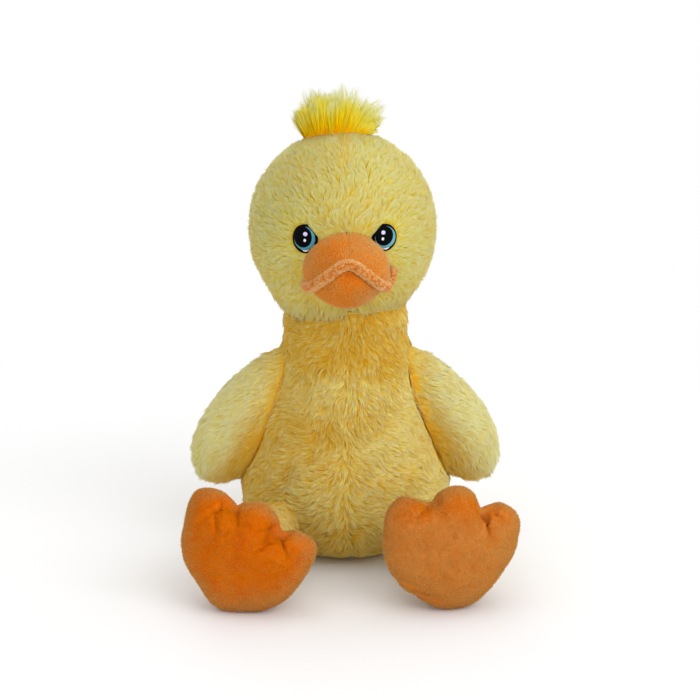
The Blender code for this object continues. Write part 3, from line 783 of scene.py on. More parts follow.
def grow(roots, normals, look, seed):
    """Combed, wavy hairs whose tips gather in locks: spine, width and tone of each."""
    rng = np.random.default_rng(seed)
    count = len(roots)
    centres = rng.choice(count, max(count // look.lock, 1), replace=False)
    near = nearest_lock(roots, centres)
    drift = rng.normal(size=(len(centres), 4))
    flow = unit(look.flow - normals * dot(look.flow, normals))
    wave = look.wave * (0.5 * ripple(roots, 0.016, seed) + 0.5 * ripple(roots, 0.007, seed + 1))
    angle = wave + 0.18 * look.wave * drift[near, 0] + 0.10 * rng.normal(size=count)
    flow = turned(flow, normals, angle)
    lean = look.lean * np.clip(1 + 0.13 * drift[near, 1] + 0.10 * rng.normal(size=count), 0.35, 1.5)
    length = look.length * np.clip(1 + 0.08 * drift[near, 2] + 0.10 * rng.normal(size=count), 0.4, 1.3)
    start = flow * np.cos(lean)[:, None] + normals * np.sin(lean)[:, None]
    lay = lean * look.lay
    end = flow * np.cos(lay)[:, None] + normals * np.sin(lay)[:, None]
    middles = roots + start * (length / 2)[:, None]
    tips = middles + end * (length / 2)[:, None]
    for room, least in look.guards:
        middles = cleared(middles, room, least)
        tips = cleared(tips, room, least)
    lead = centres[near]
    middles = middles + (middles[lead] - middles) * look.gather * 0.25
    tips = tips + (tips[lead] - tips) * look.gather
    tone = look.tone + look.spread * drift[near, 3] + look.grain * rng.normal(size=count)
    width = look.width * rng.uniform(0.75, 1.25, count)
    return [roots, middles, tips], width, np.clip(tone, 0.02, 0.98)


def new_look(kind, flow, length, lean, **values):
    look = SimpleNamespace(**{**kind, **values})
    look.flow = flow
    look.length = length * np.ones(len(flow))
    look.lean = np.full(len(flow), math.radians(lean))
    look.lift = np.zeros(len(flow))
    look.guards = []
    return look


def plush_look(roots, flow, rooms, **values):
    """Pile that lies flatter and shorter where a neighbour presses on it."""
    look = new_look(PLUSH, flow, PILE_LENGTH, PILE_LEAN, **values)
    room = np.min([measure(roots) for measure in rooms], axis=0)
    look.free = smooth_step(-0.0005, 0.0030, room)
    look.lean *= 0.5 + 0.5 * look.free
    look.length *= 0.75 + 0.25 * look.free
    look.guards = [(measure, PRESSED_HAIR_GAP) for measure in rooms]
    return look


def add_pile(
    name, roots, normals, look, seed, material, body, taper=PILE_TAPER, softness=PILE_SOFTNESS
):
    """Pile in one piece."""
    spine, width, tone = grow(roots, normals, look, seed)
    mesh = strand_mesh(name, spine, normals, width, tone, taper, softness)
    add_piece(name, mesh, material, body)


def plant(name, roots, normals, look, seed, material, body, levels=("",)):
    """Pile in one piece for each level, from the top down, and for each quarter round the upright axis,
    as the sewn panels are cut."""
    spine, width, tone = grow(roots, normals, look, seed)
    normals = unit(normals + look.lift[:, None] * UP)
    right = roots[:, 0] > look.middle[0]
    back = roots[:, 1] > look.middle[1]
    below = (roots[:, 2] < look.middle[2]) & (len(levels) > 1)
    for level, level_word in enumerate(levels):
        for depth_word, at_depth in (("front", ~back), ("back", back)):
            for side_word, at_side in (("left", ~right), ("right", right)):
                chosen = (below == level) & at_depth & at_side
                piece = f"{name}_{level_word}{depth_word}_{side_word}"
                points = [stage[chosen] for stage in spine]
                mesh = strand_mesh(
                    piece, points, normals[chosen], width[chosen], tone[chosen], PILE_TAPER, PILE_SOFTNESS,
                )
                add_piece(piece, mesh, material, body)


def make_camera():
    camera = add_object("camera", bpy.data.cameras.new("camera"))
    azimuth, elevation = math.radians(CAMERA_AZIMUTH), math.radians(CAMERA_ELEVATION)
    ahead, level = math.cos(azimuth), math.cos(elevation)
    back = Vector((math.sin(azimuth) * level, -ahead * level, math.sin(elevation)))
    point_along(camera, Vector(CAMERA_AIM) + back * CAMERA_DISTANCE, -back)
    camera.data.lens = LENS
    camera.data.sensor_width = SENSOR_WIDTH
    camera.data.clip_start = CAMERA_NEAR
    bpy.context.scene.camera = camera


class Graph:
    """The shader nodes of one material or world."""

    def __init__(self, tree):
        self.nodes = tree.nodes
        self.links = tree.links

    def feed(self, node, values):
        """Gives each named input of a node a constant or the output of another node."""
        for socket, value in values.items():
            if isinstance(value, bpy.types.NodeSocket):
                self.links.new(value, node.inputs[socket])
            else:
                node.inputs[socket].default_value = value

    def add(self, kind, values=None, **settings):
        node = self.nodes.new("ShaderNode" + kind)
        for name, setting in settings.items():
            setattr(node, name, setting)
        self.feed(node, values or {})
        return node

    def ramp(self, stops, place):
        """The colour at a place among the stops."""
        node = self.add("ValToRGB", {"Fac": place})
        elements = node.color_ramp.elements
        while len(elements) < len(stops):
            elements.new(0.5)
        for element, (position, shade) in zip(elements, stops):
            element.position = position
            element.color = colour(*shade)
        return node.outputs["Color"]


def new_material(name, values):
    material = bpy.data.materials.new(name)
    material.use_nodes = True
    graph = Graph(material.node_tree)
    shader = graph.nodes["Principled BSDF"]
    graph.feed(shader, values)
    return material, graph, shader


def soft_values(roughness, sheen, specular):
    return {
        "Roughness": roughness,
        "Sheen Weight": sheen,
        "Sheen Roughness": 0.5,
        "Specular IOR Level": specular,
    }


def colour(red, green, blue):
    """A colour as the eye names it, 0 to 255, in the renderer's own values."""
    parts = []
    for value in (red, green, blue):
        share = value / 255
        parts.append(share / 12.92 if share <= 0.04045 else ((share + 0.055) / 1.055) ** 2.4)
    return (*parts, 1.0)


def strand_material(name, pale, deep, roughness=0.8, sheen=0.1, specular=0.1):
    """Colour that runs from root to tip along each hair, between a pale and a deep tone."""
    material, graph, shader = new_material(name, soft_values(roughness, sheen, specular))
    place = graph.add("UVMap", uv_map="OFBake").outputs["UV"]
    split = graph.add("SeparateXYZ", {0: place})
    stretch = graph.add("Mapping", {"Scale": STREAK_SCALE, "Vector": place})
    streak = graph.add("TexNoise", {"Scale": 1.0, "Vector": stretch.outputs["Vector"]})
    shares = {0: streak.outputs["Fac"], 1: STREAK_STRENGTH, 2: -STREAK_STRENGTH / 2}
    spread = graph.add("Math", shares, operation="MULTIPLY_ADD")
    tone = graph.add("Math", {0: split.outputs["Y"], 1: spread.outputs[0]}, operation="ADD", use_clamp=True)
    mix = graph.add("Mix", data_type="RGBA")
    graph.feed(mix, {
        "Factor": tone.outputs[0],
        FIRST_COLOUR: graph.ramp(pale, split.outputs["X"]),
        SECOND_COLOUR: graph.ramp(deep, split.outputs["X"]),
    })
    graph.feed(shader, {"Base Color": mix.outputs[MIXED_COLOUR]})
    return material


def cloth_material(name, low, high, grain, roughness=0.9, sheen=0.0, specular=0.1):
    """Cloth with mottled colour and a fine nap."""
    material, graph, shader = new_material(name, soft_values(roughness, sheen, specular))
    where = graph.add("TexCoord").outputs["Object"]
    mottle = graph.add("TexNoise", {"Scale": MOTTLE_SCALE, "Detail": 4.0, "Vector": where})
    nap = graph.add("TexNoise", {"Scale": grain, "Vector": where})
    relief = {"Strength": NAP_STRENGTH, "Distance": NAP_HEIGHT, "Height": nap.outputs["Fac"]}
    height = graph.add("Bump", relief)
    graph.feed(shader, {
        "Base Color": graph.ramp(((0.30, low), (0.70, high)), mottle.outputs["Fac"]),
        "Normal": height.outputs["Normal"],
    })
    return material


def make_materials():
    """The shades of each pile run from the root, 0, to the tip, 1."""
    pale = ((0.0, (232, 194, 30)), (0.45, (222, 210, 100)), (1.0, (224, 226, 180)))
    deep = ((0.0, (240, 174, 0)), (0.45, (232, 184, 30)), (1.0, (232, 204, 104)))
    straw = ((0.0, (240, 196, 30)), (0.45, (234, 214, 100)), (1.0, (236, 228, 178)))
    gold = ((0.0, (226, 150, 0)), (0.45, (220, 164, 8)), (1.0, (230, 196, 84)))
    cream = ((0.0, (236, 206, 60)), (0.45, (232, 222, 124)), (1.0, (236, 236, 200)))
    honey = ((0.0, (236, 160, 0)), (0.45, (226, 172, 22)), (1.0, (230, 192, 80)))
    tan = ((0.0, (192, 116, 30)), (0.5, (202, 146, 76)), (1.0, (222, 180, 118)))
    orange = ((0.0, (206, 92, 0)), (0.5, (218, 116, 0)), (1.0, (236, 146, 0)))
    coral = ((0.0, (208, 118, 10)), (0.5, (224, 158, 74)), (1.0, (236, 186, 120)))
    flame = ((0.0, (228, 112, 0)), (0.5, (246, 140, 0)), (1.0, (250, 162, 8)))
    peach = ((0.0, (214, 130, 50)), (0.5, (236, 174, 104)), (1.0, (246, 204, 146)))
    rust = ((0.0, (206, 96, 4)), (0.5, (222, 128, 40)), (1.0, (234, 156, 78)))
    lemon = ((0.0, (246, 206, 0)), (0.45, (232, 220, 50)), (0.75, (226, 228, 160)), (1.0, (232, 236, 218)))
    yolk = ((0.0, (255, 144, 0)), (0.35, (255, 200, 0)), (0.75, (252, 228, 0)), (1.0, (244, 234, 40)))
    finish = {
        "head": strand_material("head_pile", pale, deep),
        "body": strand_material("body_pile", straw, gold),
        "wing": strand_material("wing_pile", cream, honey),
        "foot": strand_material("foot_pile", tan, orange, sheen=0.0, specular=0.0),
        "bill": strand_material("bill_pile", coral, flame),
        "lip": strand_material("lip_terry", peach, rust),
        "tuft": strand_material("tuft_hair", lemon, yolk, roughness=0.6, sheen=0.0, specular=0.0),
    }
    satin = {"roughness": 0.5, "sheen": 0.1}
    cloths = (
        # Plush backing: a deeper yellow, like the pile's roots in shade; partly painted shade where it shows
        # through the pile.
        ("plush_cloth", (216, 176, 66), (228, 192, 88), 2600, {}),
        ("velour_cloth", (212, 94, 0), (222, 120, 10), 3200, {}),
        ("tan_cloth", (206, 120, 40), (216, 138, 60), 3200, {}),
        # Seam thread: a muted gold, partly painted shade, so that the neck seam reads as lying in shade.
        ("seam_thread", (196, 156, 62), (212, 176, 84), 2400, {}),
        ("black_thread", (2, 3, 4), (9, 10, 13), 3000, {"roughness": 0.6, "specular": 0.03}),
        ("shine_thread", (196, 190, 236), (222, 216, 246), 3000, satin),
        ("teal_thread", (60, 128, 146), (112, 176, 190), 3000, satin),
        ("white_thread", (214, 214, 236), (240, 240, 248), 3000, satin),
    )
    for name, low, high, grain, values in cloths:
        finish[name] = cloth_material(name, low, high, grain, **values)
    return finish


def chin_drop(spot):
    """How far the soft chin hangs over the neck, in two lobes beside a notch."""
    below = smooth_step(-0.40, -0.68, spot[:, 2]) * smooth_step(-0.10, -0.50, spot[:, 1])
    notch = 1 - 0.8 * bell(spot[:, 0], 0.07, 0.06)
    return (CHIN_DROP - CHIN_SLANT * np.tanh(spot[:, 0] / 0.15)) * below * notch


def over_neck(points):
    """The points, with those inside the neck's ball raised onto it, so that the head has a hollow for it."""
    points = points.copy()
    away = points - NECK
    reach = NECK_RADIUS + TOUCH_GAP
    inside = np.linalg.norm(away, axis=1) < reach
    rise = np.sqrt(np.maximum(reach**2 - away[:, 0] ** 2 - away[:, 1] ** 2, 0))
    points[inside, 2] = NECK_HEIGHT + rise[inside]
    return points


def head_place(spot):
    latitude = np.degrees(np.arcsin(np.clip(spot[:, 2], -1, 1)))
    points = HEAD + spot * head_reach(latitude)[:, None]
    points[:, 2] -= chin_drop(spot)
    return points


def make_head(finish):
    form = make_form(*MESHES["head"], head_place)
    move_in(form, PILE_DEPTH)
    set_points(form, over_neck(form.points))
    add_cloth("head_cloth", form, finish["plush_cloth"], "head", bag("head"))

    roots, normals = scatter(form, HEAD_DENSITY, np.random.default_rng(11))
    in_socket = np.linalg.norm(roots - NECK, axis=1) < NECK_RADIUS + SOCKET_ROOT_GAP
    keep = ~in_socket & (eye_share(roots) > EYE_ROOT_SHARE) & (bill_room(roots) > -PILE_DEPTH)
    roots, normals = roots[keep], normals[keep]
    across, depth, height = roots[:, 0] - HEAD_SHIFT, roots[:, 1], roots[:, 2] - HEAD[2]

    # Away from the bill, down at the back, apart at the crown and the chin, and hanging below
    flow = unit(roots - HEAD_WHORL)
    behind = smooth_step(*HEAD_BEHIND, depth)
    flow[:, 2] -= 0.9 * behind
    parting = bell(across, 0.0, PARTING_WIDTH) * smooth_step(*CROWN_ZONE, height) * (1 - behind)
    flow[:, 0] += 0.6 * np.tanh(across / PARTING_EDGE) * parting
    chin = smooth_step(*CHIN_ZONE, height) * (1 - behind)
    flow[:, 0] += 0.35 * np.tanh((across - CHIN_PARTING) / PARTING_EDGE) * chin
    flow -= UP * 1.6 * smooth_step(*HANG_ZONE, height)[:, None]

    # Shorter in front and round the eyes, longer where it hides the seam of the neck
    gather = 0.42 - 0.26 * smooth_step(*HEAD_SIDES, depth)[:, None]
    look = plush_look(roots, flow, [bill_room], spread=0.12, grain=0.07, gather=gather)
    look.guards.append((body_room, NECK_HAIR_GAP))
    off_eyes = smooth_step(0.9, 1.8, eye_share(roots))
    rim = smooth_step(*RIM_ZONE, height)
    tuck = 0.50 * smooth_step(*HEAD_TUCK, depth) - 0.04
    look.length *= (1 - 0.22 * smooth_step(*HEAD_FRONT, depth)) * (0.72 + 0.28 * off_eyes) * (1 + tuck * rim)
    look.lean *= 0.65 + 0.35 * off_eyes
    straight_down = -np.arcsin(np.clip(height / HEAD_RADIUS, -1, 0))
    look.lean += (0.9 * straight_down - look.lean) * rim
    look.lay = 0.35 + 0.30 * rim
    look.tone = 0.14 + 0.16 * smooth_step(*CHEEK_ZONE, height) + 0.25 * parting - 0.12 * (1 - off_eyes)
    look.tone += 0.10 * ripple(roots, 0.03, 5)
    look.middle = HEAD
    plant("head_pile", roots, normals, look, 21, finish["head"], "head")


def make_body(finish):
    form = make_form(*MESHES["body"], lambda spot: turned_place(BODY_OUTLINE, spot))
    seam = bell(form.points[:, 0], BELLY_SEAM, BELLY_SEAM_WIDTH)
    seam *= smooth_step(*BELLY_SEAM_ZONE, form.points[:, 2])
    wings = [lambda points, side=side: wing_room(side, points) for side in SIDES.values()]
    legs = [lambda points, word=word: leg_room(word, points) for word in SIDES]
    press_in(form, [head_room, *wings, *legs])
    below_neck = smooth_step(NECK_HEIGHT - 0.015, NECK_HEIGHT - 0.035, form.points[:, 2])
    depth = BELLY_SEAM_DEPTH * seam + BELLY_RIPPLE * ripple(form.points, 0.03, 3) * below_neck
    set_points(form, form.points - form.normals * depth[:, None])
    for word in SIDES:
        hip = leg_axes(word)[0]
        keep_out_of(form, lambda points: np.linalg.norm(points - hip, axis=1) - HIP_BALL_RADIUS)
    above_floor(form)
    replaced = (*bag("body"), "pellet_bag")
    add_cloth("body_cloth", form, finish["plush_cloth"], "torso", replaced)

    roots, normals = scatter(form, BODY_DENSITY, np.random.default_rng(12))
    in_pocket = np.min([room(roots) for room in legs], axis=0) < POCKET_GAP
    keep = ~in_pocket & (roots[:, 2] > SEAT_ROOT_GAP) & (head_room(roots) > HIDDEN_DEPTH)
    roots, normals = roots[keep], normals[keep]
    across, height = roots[:, 0] - BELLY_SEAM, roots[:, 2]
    beside = np.minimum(*[room(roots) for room in wings])

    # Outwards and down from the belly's seam, straight down at the back and below the wings
    back = smooth_step(*BACK_ZONE, roots[:, 1])
    flow = np.zeros_like(roots)
    parting = smooth_step(*BELLY_PARTING_ZONE, height) * np.tanh(across / BELLY_SEAM_WIDTH)
    flow[:, 0] = 0.9 * np.tanh(across / 0.012) + 0.4 * parting + 0.5 * ripple(roots, 0.024, 15)
    flow[:, 2] = -0.62 + 0.5 * ripple(roots, 0.026, 16)
    flow = flow * (1 - back)[:, None] - UP * back[:, None]
    below_wing = smooth_step(0.008, 0.001, beside) * (1 - back)
    flow += np.array((0.0, -0.5, -0.8)) * below_wing[:, None]

    # Flat under the wings and short at the floor
    over = [lambda points, room=room: np.maximum(room(points), -body_room(points)) for room in wings]
    look = plush_look(roots, flow, [head_room, *over, *legs], grain=0.16, gather=0.36)
    look.lean *= 0.25 + 0.75 * smooth_step(-0.001, 0.002, beside)
    clear = smooth_step(*SEAT_ZONE, height)
    look.lean *= 0.2 + 0.8 * clear
    look.length *= 0.55 + 0.45 * clear
    look.guards.append((height_over_floor, FLOOR_HAIR_GAP))
    neck = smooth_step(*NECK_ZONE, height) * (1 - 0.7 * back)
    look.length *= 0.90 - 0.10 * neck
    look.spread = 0.16 + 0.06 * neck
    # Painted light and shade in the tone: deeper gold at the neck, shaded by the head, and towards the
    # bottom; deeper on the left and paler on the right, as the light falls.
    slant = np.tanh(roots[:, 0] / 0.045)
    look.tone = 0.46 + 0.34 * neck + 0.14 * smooth_step(*LOW_ZONE, height) - 0.24 * slant * (1 - neck)
    # Painted crease shade: deeper gold where a neighbour presses the pile; the ripple is random tone.
    look.tone += 0.10 * (1 - look.free) + 0.14 * ripple(roots, 0.02, 6)
    look.lift = 0.85 * smooth_step(*LIFT_ZONE, height)
    look.middle = np.array((BELLY_SEAM, 0.0, BELLY_LEVEL))
    plant("body_pile", roots, normals, look, 22, finish["body"], "torso", ("upper_", "lower_"))


def make_wing(word, finish):
    side = SIDES[word]
    name = "wing_" + word
    form = make_form(*MESHES["wing"], wing_place(side))
    press_in(form, [body_room])
    keep_out_of(form, body_room)
    add_cloth(name + "_cloth", form, finish["plush_cloth"], name, bag(name))

    roots, normals = scatter(form, WING_DENSITY, np.random.default_rng(13 + side))
    centre, turn = wing_axes(side)
    local = (roots - centre) @ turn.T
    outward, down = side * turn[0], -turn[2]
    end = smooth_step(*WING_END_ZONE, local[:, 2])[:, None]
    flow = outward * (0.5 - 0.3 * end) + down * (0.8 + 0.7 * end)
    look = plush_look(roots, flow, [body_room], wave=0.5, gather=0.22)
    # Painted shade: deeper tone on the inner side, which faces the body, and where the body presses the pile.
    inner = smooth_step(0.35, -0.65, side * local[:, 0] / (WING_WIDTH / 2))
    top = smooth_step(*WING_TOP_ZONE, local[:, 2])
    look.tone = 0.05 + 0.92 * inner + 0.08 * (1 - look.free) + 0.35 * top * (1 - inner)
    look.tone += 0.10 * ripple(roots, 0.02, 7)
    look.middle = centre
    plant(name + "_pile", roots, normals, look, 23 + side, finish["wing"], name)


def seen_directly(graph):
    """1 where the camera sees a surface itself or in a reflection, 0 for the light it gives."""
    path = graph.add("LightPath")
    total = path.outputs["Is Camera Ray"]
    for name in ("Is Glossy Ray", "Is Transmission Ray"):
        both = graph.add("Math", {0: total, 1: path.outputs[name]}, operation="ADD", use_clamp=True)
        total = both.outputs[0]
    return total


def make_world():
    world = bpy.data.worlds.new("studio")
    bpy.context.scene.world = world
    world.use_nodes = True
    graph = Graph(world.node_tree)
    light = graph.nodes["Background"]
    graph.feed(light, {"Color": WHITE, "Strength": WORLD_LIGHT})
    seen = graph.add("Background", {"Color": WHITE, "Strength": 1.0})
    mix = graph.add("MixShader", {"Fac": seen_directly(graph), 1: light.outputs[0], 2: seen.outputs[0]})
    graph.feed(graph.nodes["World Output"], {"Surface": mix.outputs["Shader"]})


def make_floor():
    """A pale floor that takes the shadow and turns white away from the toy."""
    mesh = bpy.data.meshes.new("floor")
    reach = FLOOR_REACH
    corners = [(-reach, -reach, 0), (reach, -reach, 0), (reach, reach, 0), (-reach, reach, 0)]
    mesh.from_pydata(corners, [], [(0, 1, 2, 3)])
    floor = add_object("floor", mesh)
    material, graph, shader = new_material("floor", {"Roughness": 0.9, "Base Color": FLOOR_GREY})
    white = graph.add("Emission", {"Color": WHITE, "Strength": 1.0})
    away = graph.add("VectorMath", {0: graph.add("TexCoord").outputs["Object"]}, operation="LENGTH")
    near, far = FLOOR_FADE
    fade = graph.add(
        "MapRange", {"From Min": near, "From Max": far, "Value": away.outputs["Value"]},
        interpolation_type="SMOOTHSTEP",
    )
    share = graph.add("Math", {0: fade.outputs["Result"], 1: seen_directly(graph)}, operation="MULTIPLY")
    mix = graph.add("MixShader", {"Fac": share.outputs[0], 1: shader.outputs["BSDF"], 2: white.outputs[0]})
    graph.feed(graph.nodes["Material Output"], {"Surface": mix.outputs["Shader"]})
    mesh.materials.append(material)


def make_lamps():
    for name, place, size, power in LAMPS:
        lamp = add_object(name, bpy.data.lights.new(name, "AREA"))
        lamp.data.size = size
        lamp.data.energy = power
        point_along(lamp, place, Vector(LAMP_AIM) - Vector(place))


def velour(name, roots, normals, flow, tone, seed, material, body, length, nap):
    """Short upright pile, brushed about a little. The nap is how unevenly it stands."""
    tilt = nap * np.random.default_rng(seed + 100).normal(size=(len(roots), 3))
    tilt[:, 0] += nap * ripple(roots, NAP_SIZE, seed + 101)
    tilt[:, 2] += nap * ripple(roots, NAP_SIZE, seed + 102)
    normals = unit(normals + tilt)
    look = new_look(VELOUR, flow, length, VELOUR_LEAN, tone=tone)
    spine, width, tone = grow(roots, normals, look, seed)
    mesh = strand_mesh(name, [spine[0], spine[2]], normals, width, tone, (1.0,), 0.35)
    add_piece(name, mesh, material, body)


def foot_room(word, points):
    """How far points are outside the foot, near enough."""
    origin, axes = foot_frame(word)
    local = (points - origin) @ axes.T
    reach = foot_reach(word, np.arctan2(local[:, 1], local[:, 0]))
    off_axis = (np.hypot(local[:, 0], local[:, 1]) / reach) ** (1 / FOOT_EDGE_SHARE)
    return (np.hypot(off_axis, local[:, 2] / (FOOT_THICKNESS / 2)) - 1) * FOOT_THICKNESS / 2


def make_leg(word, finish):
    hip, ankle, axes = leg_axes(word)
    outline = leg_outline(hip, ankle)
    name = "leg_" + word
    form = make_form(*MESHES["leg"], lambda spot: hip + turned_place(outline, spot) @ axes)
    press_in(form, [body_room, lambda points: foot_room(word, points)])
    above_floor(form)
    add_cloth(name + "_sleeve", form, finish["plush_cloth"], name, bag(name))

    roots, normals = scatter(form, WING_DENSITY, np.random.default_rng(31 + SIDES[word]))
    in_sight = (body_room(roots) > HIP_ROOT_GAP) & (foot_room(word, roots) > POCKET_GAP)
    keep = in_sight & (roots[:, 2] > FLOOR_ROOT_GAP)
    roots, normals = roots[keep], normals[keep]
    look = plush_look(roots, np.tile(-UP, (len(roots), 1)), [body_room])
    look.length *= 0.8
    look.guards.append((height_over_floor, FLOOR_HAIR_GAP))
    # A deeper gold than the body's pile, partly painted shade where the leg sits low beside the body.
    look.tone = 0.68 + 0.1 * ripple(roots, 0.02, 8)
    add_pile(name + "_pile", roots, normals, look, 32 + SIDES[word], finish["body"], name)


def foot_frame(word):
    """The foot's middle, at the height that puts its heel on the floor, and its directions as rows."""
    _, ankle, axes = leg_axes(word)
    spots = ball(*FOOT_TRIAL)[0]
    lowest = (ankle + foot_local(word, spots) @ axes)[:, 2].min()
    return ankle - (0.0, 0.0, lowest + FLAT_DEPTH), axes


def crease(points, start, end):
    """The depth of a fold along a straight line between two flat points: deepest where it starts."""
    start, end = np.array(start, float), np.array(end, float)
    along = end - start
    share = np.clip((points - start) @ along / (along @ along), 0, 1)
    beside = np.linalg.norm(points - start - share[:, None] * along, axis=1)
    profile = CREASE_DEPTH * bell(beside, 0, CREASE_WIDTH) + HOLLOW_DEPTH * bell(beside, 0, HOLLOW_WIDTH)
    return (1 - 0.70 * share) * profile


def folds(word, local):
    """How deep all of a foot's folds are at points of its own frame."""
    flat = local[:, :2] * MILLIMETRES
    return sum(crease(flat, start, end) * strength for start, end, strength in CREASES[word])


def make_foot(word, finish):
    name = "foot_" + word
    origin, axes = foot_frame(word)
    form = make_form(*MESHES["foot"], lambda spot: origin + foot_local(word, spot) @ axes)
    front = smooth_step(-0.1, 0.2, form.spots[:, 2])
    dent = 0.0005 * ripple(form.points, 0.025, 9) + 0.0005 * bell(form.spots[:, 2], 0.0, 0.08)
    dent += front * folds(word, (form.points - origin) @ axes.T)
    set_points(form, form.points - form.normals * (VELOUR_DEPTH + dent)[:, None])
    keep_out_of(form, lambda points: leg_room(word, points) - TURNING_GAP)
    above_floor(form)
    backing = finish["velour_cloth"] if word == "left" else finish["tan_cloth"]
    add_cloth(name + "_cloth", form, backing, name, bag(name))

    roots, normals = scatter(form, FOOT_DENSITY, np.random.default_rng(41 + SIDES[word]))
    keep = (leg_room(word, roots) > ANKLE_ROOT_GAP) & (roots[:, 2] > FLOOR_ROOT_GAP)
    roots, normals = roots[keep], normals[keep]
    local = (roots - origin) @ axes.T
    outward = unit(local * (1, 1, 0)) @ axes - UP * 0.4
    share = np.hypot(local[:, 0], local[:, 1]) / foot_reach(word, np.arctan2(local[:, 1], local[:, 0]))
    inside = smooth_step(1.00, 0.62, share) * smooth_step(-0.004, 0.006, local[:, 2])

    # Deeper orange over most of the left foot and at the right foot's toes, paler tan elsewhere; the paler
    # rims and the left foot's paler lower part are painted sheen where the nap turns away.
    if word == "left":
        toes = smooth_step(0.010, 0.025, local[:, 1]) * smooth_step(0.98, 0.72, share)
        tone = 0.12 + 0.80 * inside * smooth_step(-0.040, -0.014, local[:, 1]) + 0.4 * toes
    else:
        toes = smooth_step(0.012, 0.030, local[:, 1]) * smooth_step(1.00, 0.76, share)
        tone = 0.06 + 0.08 * inside + 0.90 * toes
    folded = folds(word, local)
    # Painted crease shade: deeper orange in the folds between the toes.
    tone = tone + 0.06 * ripple(roots, 0.02, 10) + 300 * folded * smooth_step(0.0, 0.008, local[:, 2])
    length = VELOUR_LENGTH * (1 - 0.6 * smooth_step(0.0006, 0.0030, folded))
    velour(
        name + "_pile", roots, normals, outward, tone, 42 + SIDES[word], finish["foot"], name,
        length, FOOT_NAP,
    )


def make_tail(finish):
    form = make_form(*MESHES["tail"], tail_place)
    press_in(form, [body_room])
    keep_out_of(form, body_room)
    add_cloth("tail_cloth", form, finish["plush_cloth"], "tail", bag("tail"))

    roots, normals = scatter(form, TAIL_DENSITY, np.random.default_rng(51))
    rise = math.radians(TAIL_RISE)
    flow = np.tile((0.0, math.cos(rise), math.sin(rise)), (len(roots), 1))
    look = plush_look(roots, flow, [body_room], wave=0.3, gather=0.12)
    look.guards.append((height_over_floor, FLOOR_HAIR_GAP))
    # Painted crease shade: deeper where the body presses the pile; the ripple is random tone.
    look.tone = 0.35 + 0.3 * (1 - look.free) + 0.1 * ripple(roots, 0.03, 11)
    look.lean += (math.radians(TAIL_TIP_LEAN) - look.lean) * smooth_step(0.3, 0.9, dot(normals, flow)[:, 0])
    add_pile("tail_pile", roots, normals, look, 52, finish["body"], "tail", softness=0.45)


def bill_place(share, above):
    """Half an egg in front, cut off along the mouth line, with a shallow back that sits on the face."""
    size = np.array((BILL_HALF_WIDTH, BILL_LENGTH, BILL_HALF_HEIGHT)) * share
    gap = TOUCH_GAP / 2 * (1 if above else -1)

    def place(spot):
        flat = spot.copy()
        behind = spot[:, 1] > 0
        widen = 1 / np.maximum(np.hypot(spot[:, 0], spot[:, 2]), 0.5)
        flat[behind, 0] *= widen[behind]
        flat[behind, 2] *= widen[behind]
        flat[behind, 1] *= BILL_BACK_SHARE
        points = np.array((BILL_SHIFT, BILL_ROOT_Y, BILL_HEIGHT)) + flat * size
        for _ in range(3):
            line = mouth_line(points[:, 0]) + gap
            beyond = points[:, 2] < line if above else points[:, 2] > line
            cut = 1 - ((line - BILL_HEIGHT) / size[2]) ** 2
            own = 1 - np.minimum(flat[:, 2] ** 2, 1)
            inward = np.sqrt(np.clip(np.maximum(cut, 0) / np.maximum(own, 1e-6), 0, 1))
            depth = np.clip(np.abs(flat[:, 2] * size[2] + BILL_HEIGHT - line) / size[2], 0, 1)
            scale = np.where(beyond, inward * (1 - 0.25 * depth), 1.0)
            points[:, 0] = BILL_SHIFT + flat[:, 0] * size[0] * scale
            points[:, 1] = np.where(behind, points[:, 1], BILL_ROOT_Y + flat[:, 1] * size[1] * scale)
        line = mouth_line(points[:, 0]) + gap
        beyond = points[:, 2] < line if above else points[:, 2] > line
        points[:, 2] = np.where(beyond, line, points[:, 2])
        return points

    return place


def make_bill(finish):
    for name, share, above in (("upper_bill", 1.0, True), ("lower_bill", LOWER_BILL_SHARE, False)):
        form = make_form(*MESHES["bill"], bill_place(share, above))
        on_mouth = np.abs(form.points[:, 2] - mouth_line(form.points[:, 0])) < TOUCH_GAP
        seam = bell(form.points[:, 0], BILL_SHIFT, 0.0010) * above
        depth = np.where(on_mouth, 0.0, VELOUR_DEPTH + BILL_SEAM_DEPTH * seam)
        set_points(form, form.points - form.normals * depth[:, None])
        set_points(form, cleared(form.points, head_room, TOUCH_GAP - PILE_DEPTH, 12))
        add_cloth(name + "_cloth", form, finish["velour_cloth"], "head", (name,))

        roots, normals = scatter(form, BILL_DENSITY, np.random.default_rng(61 + above))
        open_side = np.abs(roots[:, 2] - mouth_line(roots[:, 0])) > MOUTH_ROOT_GAP
        keep = open_side & (head_room(roots) > 0.0)
        roots, normals = roots[keep], normals[keep]
        flow = roots - (BILL_SHIFT, BILL_ROOT_Y - BILL_LENGTH, BILL_HEIGHT) - UP * 0.004
        # Painted sheen: paler towards the bill's right side.
        tone = 0.50 - 0.30 * smooth_step(-0.01, 0.015, roots[:, 0]) + 0.24 * ripple(roots, 0.014, 12)
        tone += 0.1 * (not above)
        velour(
            name + "_pile", roots, normals, flow, tone, 62 + above, finish["bill"], "head",
            BILL_PILE_LENGTH, BILL_NAP,
        )


def corner_x():
    """Half the mouth's width, where the mouth line leaves the bill's outline."""
    trial = np.linspace(0, BILL_HALF_WIDTH, 4000)
    low = (mouth_line(BILL_SHIFT + trial) - BILL_HEIGHT) / BILL_HALF_HEIGHT
    inside = (trial / BILL_HALF_WIDTH) ** 2 + low**2 < 1
    return trial[inside].max()


